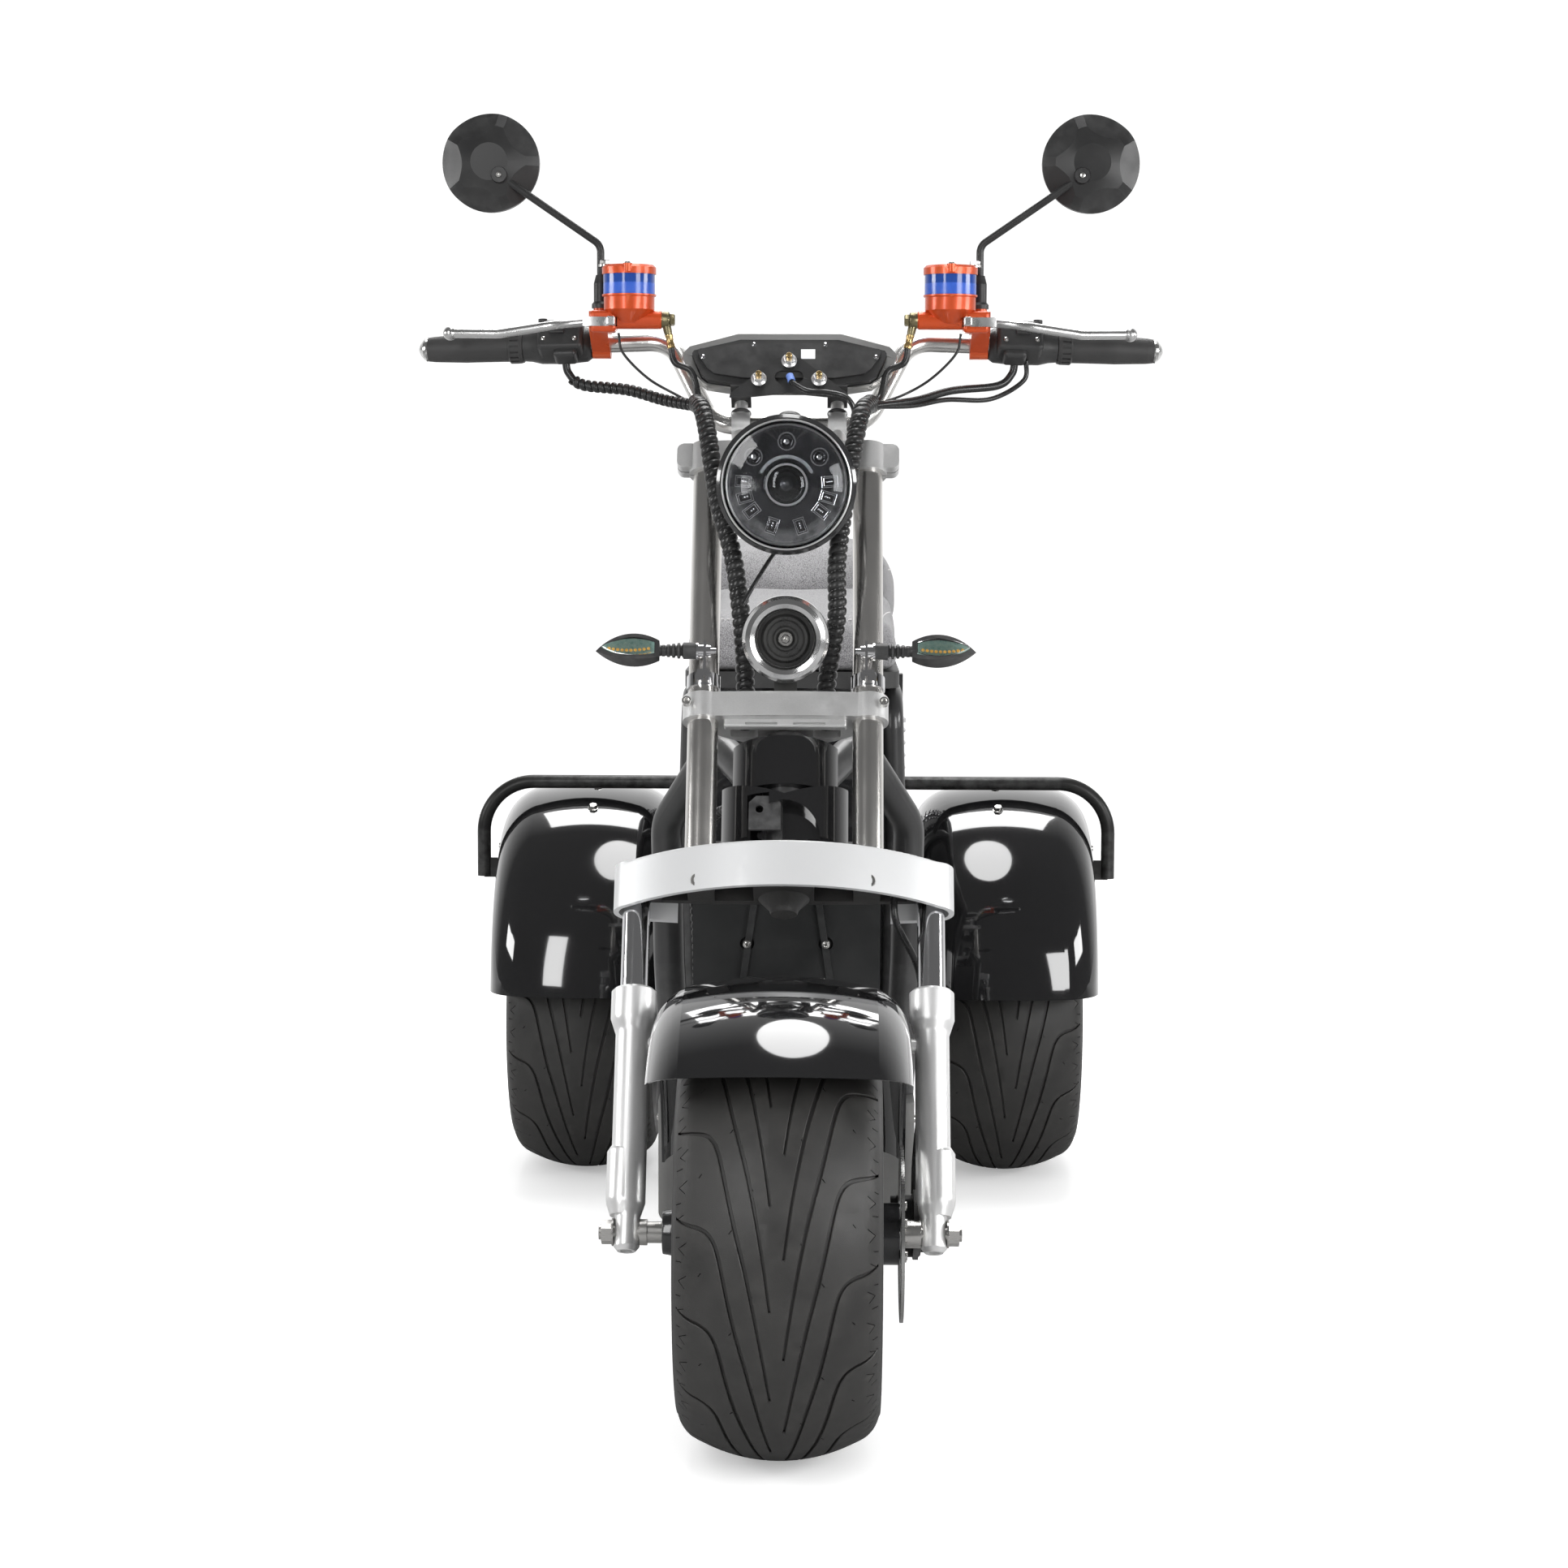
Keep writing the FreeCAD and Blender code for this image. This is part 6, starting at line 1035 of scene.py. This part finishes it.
wrap_black = finish_of("wrap_black", (0.012, 0.012, 0.012), (0.020, 0.020, 0.020), (0.22, 0.42), broad=60.0,
                       fine=1100.0, bump=0.12)
hose_black = finish_of("hose_black", (0.012, 0.012, 0.0125), (0.018, 0.018, 0.018), (0.2, 0.34), broad=40.0,
                       fine=1500.0, bump=0.08)
hoses, cores, wraps = ([], []), ([], []), ([], [])
for s in (1, -1):
    loom = smooth_path([on_fork(*p) for p in LOOM_ROUTES[s]])
    tube_on(*cores, loom, 0.0088)
    wrap_on(*wraps, loom, 0.0098, 0.0106, 0.0094)
    meeting = on_fork(*LOOM_ROUTES[s][0]).lerp(on_fork(*LOOM_ROUTES[s][1]), 0.25)
    _, outlet, down = master_hose(s)
    tube_on(*hoses, smooth_path([
        outlet + down * 0.030, outlet + down * 0.052, (s * 0.118, MASTER.y - 0.008, MASTER.z - 0.062),
        (s * 0.109, MASTER.y - 0.019, MASTER.z - 0.092), meeting + Vector((s * 0.002, 0, 0))]), 0.0040)
    first = touch("switch_housings", (s * 0.274, -0.2, 1.0), UP)[0] + Vector((0, 0, 0.004))
    wire = smooth_path([first, first + Vector((-s * 0.004, 0, -0.016)), first + Vector((-s * 0.022, -0.006, -0.030)),
                        (s * 0.196, -0.226, 1.152), (s * 0.150, -0.252, 1.139), meeting])
    tube_on(*cores, wire, 0.0048)
    if s < 0:
        wrap_on(*wraps, wire[20:], 0.0060, 0.0085, 0.0074)
    else:
        tube_on(*hoses, smooth_path([
            first + Vector((0.014, 0, 0)), first + Vector((0.010, -0.004, -0.024)),
            first + Vector((-0.030, -0.010, -0.046)), (0.190, -0.232, 1.141), (0.148, -0.256, 1.133), meeting]), 0.0030)
    tube_on(*hoses, smooth_path([
        (s * 0.206, MASTER.y, MASTER.z - 0.016), (s * 0.200, MASTER.y - 0.004, MASTER.z - 0.040),
        (s * 0.170, MASTER.y - 0.006, MASTER.z - 0.070), (s * 0.135, MASTER.y - 0.012, MASTER.z - 0.090),
        meeting]), 0.0016, 8)
for route, radius, steps in ((FRONT_BRAKE_ROUTE, 0.0040, 12), (DISPLAY_ROUTE, 0.0034, 12), (HORN_ROUTE, 0.0026, 10)):
    tube_on(*hoses, smooth_path(route), radius, steps)
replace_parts(fitted("hoses", "steering", "cable_black", hose_black, *hoses, 50), "cables")
fitted("loom_cores", "steering", "cable_black", hose_black, *cores, 50)
fitted("loom_wraps", "steering", "cable_black", wrap_black, *wraps, 50)
dress(hose_black, "cables")
lathed("cable_collar", "steering", "cable_black", finish_of(
    "collar_blue", (0.12, 0.22, 0.60), (0.20, 0.30, 0.66), (0.3, 0.45), broad=200.0, fine=2200.0, bump=0.1), [
        ([(0.0036, 0), (0.0046, 0.0006), (0.0046, 0.0100), (0.0036, 0.0106)], on_fork(0.6, -48.0, 1037),
         on_fork(3, -50, 1026) - on_fork(0, -47, 1037), 24)])

# Frame. Bent steel tubes, welded and painted satin black, with the head tube and the round
# head shroud between the crown and the middle clamp. A wrapped loom runs down the right tube.
LOOM_ON_FRAME = [(-0.024, -0.446, 0.640), (-0.074, -0.321, 0.650), (-0.112, -0.254, 0.596), (-0.110, -0.242, 0.450),
                 (-0.110, -0.242, 0.300)]
dress(finish_of("frame_black", (0.020, 0.020, 0.021), (0.030, 0.030, 0.030), (0.30, 0.46), broad=18.0, fine=900.0,
                bump=0.12, worn=((0.12, 0.12, 0.12), 0.4), Coat_Weight=0.3, Coat_Roughness=0.15),
      "frame_left", "frame_right", "head_tube", "axle_housing")
dress(finish_of("rail_black", (0.018, 0.018, 0.018), (0.028, 0.028, 0.027), (0.30, 0.44), 0.5, broad=22.0,
                fine=1300.0, bump=0.1, worn=((0.2, 0.2, 0.2), 0.4)), "guard_rails")
dress(gloss, "head_shroud")
dress(wrap_black, "frame_loom")
soften(0.0015, "axle_housing")
points, faces = [], []
frame_run = smooth_path(LOOM_ON_FRAME)
tube_on(points, faces, frame_run, 0.0054)
wrap_on(points, faces, frame_run, 0.0060, 0.0088, 0.0078, 0.0008)
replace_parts(fitted("frame_loom_wrap", "chassis", "cable_black", wrap_black, points, faces, 50), "frame_loom")

# Apron, floor tub and deck. Moulded grained panels held by countersunk screws, and a pressed
# aluminium tread plate underfoot.
STUD_PITCH, STUD_LENGTH, STUD_WIDTH, STUD_LIFT, STUD_TOP = 0.0165, 0.0066, 0.0021, 0.0009, 0.62
STUD_OUTLINE = ((-1, 0), (-0.55, 0.8), (0.55, 0.8), (1, 0), (0.55, -0.8), (-0.55, -0.8))
dress(finish_of("panel_black", (0.013, 0.0135, 0.014), (0.021, 0.0215, 0.022), (0.36, 0.52), broad=14.0, fine=1100.0,
                bump=0.25, worn=((0.10, 0.10, 0.10), 0.4)), "front_panel")
dress(finish_of("floor_grey", (0.085, 0.085, 0.083), (0.115, 0.114, 0.110), (0.42, 0.58), broad=12.0, fine=900.0,
                bump=0.3, worn=((0.2, 0.2, 0.195), 0.5)), "floor_box")
deck_metal = finish_of("deck_metal", (0.62, 0.62, 0.61), (0.50, 0.50, 0.495), (0.26, 0.42), 1.0, broad=24.0,
                       fine=1500.0, bump=0.12, stretch=(1, 0.2, 1))
dress(deck_metal, "foot_deck")
soften(0.0012, "front_panel")
soften(0.0025, "floor_box")
screws = seated(cross_screw, 0.011, "front_panel", [(s * 0.047, -0.8, 0.492) for s in (1, -1)], BACK)
for s in (1, -1):
    screws += seated(cross_screw, 0.010, "floor_box", [(s * 0.4, y, 0.268) for y in (-0.28, -0.12, 0.04, 0.18)],
                     (-s, 0, 0))
fixings("panel_screws", "chassis", "chrome", bolt_steel, screws)
low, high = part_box("foot_deck")
points, faces = [], []
for row in range(int((high.y - low.y - 0.02) / STUD_PITCH)):
    for column in range(int((high.x - low.x - 0.02) / STUD_PITCH)):
        place, normal = touch("foot_deck", (low.x + 0.016 + column * STUD_PITCH, low.y + 0.016 + row * STUD_PITCH, 0.5),
                              DOWN)
        if normal.z < 0.9 or place.z < high.z - 0.002:
            continue
        t = math.radians(45 if (row + column) % 2 else -45)
        along, over = Vector((math.cos(t), math.sin(t), 0)), Vector((-math.sin(t), math.cos(t), 0))
        prism(points, faces, [
            [place + along * u * STUD_LENGTH * grow + over * w * STUD_WIDTH * grow + Vector((0, 0, lift))
             for u, w in STUD_OUTLINE] for grow, lift in ((1.0, -0.0003), (STUD_TOP, STUD_LIFT))])
fitted("deck_studs", "chassis", "deck_aluminium", deck_metal, points, faces, 20)
fixings("deck_screws", "chassis", "deck_aluminium", bolt_steel, seated(
    cross_screw, 0.009, "foot_deck",
    [(x, y, 0.5) for x in (low.x + 0.010, high.x - 0.010) for y in (low.y + 0.010, high.y - 0.010)], DOWN, UP))

# Battery housing and seat pan. A gloss moulded box with side covers, a lock for the battery,
# a charging flap, and the moulded pan that the cushions sit on.
dress(gloss, "seat_body")
dress(satin_black, "seat_pan")
soften(0.004, "seat_body", segments=3)
soften(0.003, "seat_pan")
fixings("body_screws", "chassis", "chrome", bolt_steel, [row for s in (1, -1) for row in seated(
    cross_screw, 0.011, "seat_body", [(s * 0.5, y, z) for y, z in (
        (0.24, 0.36), (0.43, 0.36), (0.24, 0.69), (0.46, 0.69))], (-s, 0, 0))])
place, normal = touch("seat_body", (0.5, 0.30, 0.60), (-1, 0, 0))
lathed("battery_lock", "chassis", "chrome", chrome, [
    ([(0.013, -0.001), (0.0135, 0.002), (0.0115, 0.0035), (0.0105, 0.0030), (0.0105, 0.0016), (0, 0.0016)],
     place, normal, 40), ([(0.0092, 0.001), (0.0088, 0.0042), (0, 0.0044)], place, normal, 32)])
lathed("charging_flap", "chassis", "gloss_black", rubber_black, [
    ([(0.021, -0.001), (0.0215, 0.0022), (0.019, 0.0036), (0.0085, 0.0036), (0.0075, 0.0050), (0, 0.0052)],
     *touch("seat_body", (-0.5, 0.30, 0.60), (1, 0, 0)), 48)])

# Seats. Two foam cushions under grey leathercloth, tight over a rounded edge, with a row of
# pale top stitching across the driver's nose and along the passenger's sides.
VOXEL, SHRINK, SHRINK_DOWN, SWELL_CAP, SEAM_RISE = 0.0055, 0.97, 0.96, 0.010, 0.035
SWELL_FRAMES, SMOOTHINGS = 20, 36
SIDE_SPARE, END_SPARE, TOP_SPARE = 0.004, 0.003, 0.006
STITCH, STITCH_GAP, THREAD = 0.0044, 0.0030, 0.00075
# Leather grain: its height, and a mask of its creases that the seat uses for painted shade.
leather, given, result = shader_group(
    "leather_grain", {"Vector": (0.0, 0.0, 0.0), "Scale": 260.0}, {"Height": "Float", "CreaseShade": "Float"})
crease = spread(leather, put(leather, "TexVoronoi", {"Vector": given["Vector"], "Scale": given["Scale"]},
                             feature="DISTANCE_TO_EDGE").outputs["Distance"], 0.0, 0.16)
join(leather, result, {"CreaseShade": crease, "Height": crease})
seat_grey = finish_of("seat_leathercloth", (0.215, 0.212, 0.219), (0.265, 0.261, 0.269), (0.36, 0.5), broad=10.0,
                      fine=900.0, bump=0.1, Sheen_Weight=0.15)
tree = seat_grey.node_tree
shader = tree.nodes["Principled BSDF"]
hide = effect(tree, leather, {"Vector": put(tree, "TexCoord").outputs["Object"], "Scale": 420.0})
relief(tree, shader, hide["Height"], 0.35, 0.0005)
# Painted shade: the grain's creases are coloured near black, standing in for shade in the hollows of the grain.
tone = shader.inputs["Base Color"].links[0].from_socket
join(tree, shader.inputs, {
    "Base Color": blended(tree, "RGBA", hide["CreaseShade"], (0.055, 0.054, 0.057, 1.0), tone)})


def formed(piece):
    """The mesh that a piece's modifiers make of it; they are taken off."""
    mesh = bpy.data.meshes.new_from_object(piece.evaluated_get(bpy.context.evaluated_depsgraph_get()))
    piece.modifiers.clear()
    return mesh


def smoothed_down(form):
    """Evens out the small dents that the cloth leaves."""
    for _ in range(SMOOTHINGS):
        bmesh.ops.smooth_vert(form, verts=form.verts, factor=0.5, use_axis_x=True, use_axis_y=True, use_axis_z=True)


def cushion(name, cad_name):
    """A foam cushion blown up from its solid by cloth pressure, kept within a cap of its start."""
    made = bpy.data.objects.new(name, node[cad_name].data.copy())
    bpy.context.scene.collection.objects.link(made)
    low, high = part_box(cad_name)
    foot = (low + high) / 2
    foot.z = low.z
    for vertex in made.data.vertices:
        vertex.co = [f + (c - f) * share for f, c, share in zip(foot, vertex.co, (SHRINK, SHRINK, SHRINK_DOWN))]
    worked(made.data, lambda form: bmesh.ops.remove_doubles(form, verts=form.verts, dist=1e-5))
    bpy.context.view_layer.objects.active = made
    remesh = made.modifiers.new("voxels", "REMESH")
    remesh.mode, remesh.voxel_size, remesh.use_smooth_shade = "VOXEL", VOXEL, True
    even = made.modifiers.new("even", "SMOOTH")
    even.factor, even.iterations = 0.7, 45
    bpy.context.view_layer.update()
    made.data = solid = formed(made)
    cloth = made.modifiers.new("swelling", "CLOTH")
    for label, value in (("use_pressure", True), ("uniform_pressure_force", 4.0), ("quality", 5),
                         ("tension_stiffness", 20), ("compression_stiffness", 20), ("bending_stiffness", 1.5)):
        setattr(cloth.settings, label, value)
    cloth.settings.effector_weights.gravity = 0.0
    cloth.point_cache.frame_start, cloth.point_cache.frame_end = 1, SWELL_FRAMES
    for frame_number in range(1, SWELL_FRAMES + 1):
        bpy.context.scene.frame_set(frame_number)
    swollen = formed(made)
    bpy.context.scene.frame_set(1)
    for vertex, blown in zip(solid.vertices, swollen.vertices):
        move = blown.co - vertex.co
        if move.length > SWELL_CAP:
            move = move * (SWELL_CAP / move.length)
        vertex.co = vertex.co + move * min(1.0, max(0.0, (vertex.co.z - low.z) / SEAM_RISE))
    worked(solid, smoothed_down)
    for vertex in solid.vertices:
        vertex.co.x = min(max(vertex.co.x, low.x - SIDE_SPARE), high.x + SIDE_SPARE)
        vertex.co.y = min(max(vertex.co.y, low.y - END_SPARE), high.y + END_SPARE)
        vertex.co.z = min(max(vertex.co.z, low.z), high.z + TOP_SPARE)
    finer = made.modifiers.new("finer", "SUBSURF")
    finer.levels = finer.render_levels = 1
    rounded(solid)
    solid.materials.clear()
    solid.materials.append(seat_grey)
    dress(seat_grey, cad_name)
    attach(made, "chassis")
    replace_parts(made, cad_name)
    return made


driver = cushion("driver_cushion", "driver_seat")
passenger = cushion("passenger_cushion", "passenger_seat")
thread = finish_of("seat_thread", (0.62, 0.60, 0.60), (0.50, 0.49, 0.49), (0.5, 0.7), broad=300.0, fine=2600.0,
                   bump=0.2, Sheen_Weight=0.3)
bpy.context.view_layer.update()


def stitched(name, piece, starts, towards):
    """A row of stitches laid on a finished piece where a fan of lines meets it."""
    shape = piece.evaluated_get(bpy.context.evaluated_depsgraph_get())
    back = shape.matrix_world.inverted()
    seam = []
    for start in starts:
        hit, place, normal, _ = shape.ray_cast(back @ Vector(start), back.to_3x3() @ Vector(towards))
        if hit:
            seam.append((shape.matrix_world @ place, (shape.matrix_world.to_3x3() @ normal).normalized()))
    marks = measured([place for place, _ in seam])
    points, faces = [], []
    s = 0.0
    while s + STITCH < marks[-1]:
        path = []
        for t, lift in ((0.0, -0.9), (0.2, 0.7), (0.5, 0.7), (0.8, 0.7), (1.0, -0.9)):
            k, f = station(marks, s + STITCH * t)
            path.append(seam[k][0].lerp(seam[k + 1][0], f) + seam[k][1] * (THREAD * lift))
        tube_on(points, faces, path, THREAD, 6)
        s += STITCH + STITCH_GAP
    fitted(name, "chassis", "seat_leather", thread, points, faces, 60)


low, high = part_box("driver_seat")
stitched("driver_stitches", driver, [(x / 1000, low.y - 0.2, high.z - 0.036) for x in range(-138, 139, 3)], BACK)
low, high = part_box("passenger_seat")
for s, label in SIDES:
    stitched("passenger_stitches_" + label, passenger, [
        (s * 0.4, y / 1000, high.z - 0.045) for y in range(int(low.y * 1000) + 60, int(high.y * 1000) - 60, 4)],
        (-s, 0, 0))

# Rear mudguards. Deep gloss black guards over each wheel, bolted to the stays, with a tube
# rail across both that is screwed to them by a small tab.
rows = []
for s, label in SIDES:
    guard = "rear_fender_" + label
    dress(gloss, guard)
    rows += seated(cross_screw, 0.010, guard, [(s * 0.6, 0.594, z) for z in (0.50, 0.47)], (-s, 0, 0))
    rows += seated(hex_bolt, 0.013, guard, [(s * 0.30, y, 0.9) for y in (0.55, 0.64)], DOWN)
fixings("guard_screws", "chassis", "chrome", bolt_steel, rows)

# Rear end. Cast drive casing on the axle tube, black calipers on steel discs, chromed spring
# dampers, a red tail lamp in a black holder, and five bolts in each hub.
HUB_BOLTS_R, HUB_BOLTS = 0.030, 5
dress(finish_of("caliper_black", (0.020, 0.020, 0.020), (0.032, 0.031, 0.030), (0.34, 0.5), 0.2, broad=40.0,
                fine=1000.0, bump=0.3, worn=((0.2, 0.2, 0.2), 0.5)), "front_caliper", "rear_calipers")
soften(0.0012, "front_caliper", "rear_calipers")
dress(finish_of("shock_chrome", (0.80, 0.80, 0.81), (0.68, 0.68, 0.69), (0.10, 0.2), 1.0, broad=50.0, fine=1400.0,
                bump=0.05), "rear_shocks")
tail_red = finish_of("tail_red", (0.30, 0.006, 0.006), (0.38, 0.012, 0.010), (0.06, 0.12), broad=60.0, fine=700.0,
                     bump=0.05, Coat_Weight=1.0, Coat_Roughness=0.02)
dress(zoned("tail_holder", tail_red, (0.02, 0.02, 0.02), 0.0, 0.4,
            band_mask((0, -1, 0), 0.016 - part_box("tail_lamp")[1].y)), "tail_lamp")


def bolt_ring(x, centre):
    """Places of the hub's bolts round a wheel's centre."""
    turns = [2 * math.pi * k / HUB_BOLTS for k in range(HUB_BOLTS)]
    return [(x, centre.y + HUB_BOLTS_R * math.cos(t), centre.z + HUB_BOLTS_R * math.sin(t)) for t in turns]


for s, label in SIDES:
    rim = "rear_rim_" + label
    fixings("hub_bolts_" + label, "rear_wheel_" + label, "chrome", bolt_steel, seated(
        socket_bolt, 0.012, rim, bolt_ring(s * 0.6, sum(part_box(rim), Vector()) / 2), (-s, 0, 0), (s, 0, 0)))
fixings("disc_bolts", "front_wheel", "chrome", bolt_steel, [
    (socket_bolt, place, (1, 0, 0), 0.010) for place in bolt_ring(0.1315, Vector((0.0, -0.74575, 0.2385)))])

low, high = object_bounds()
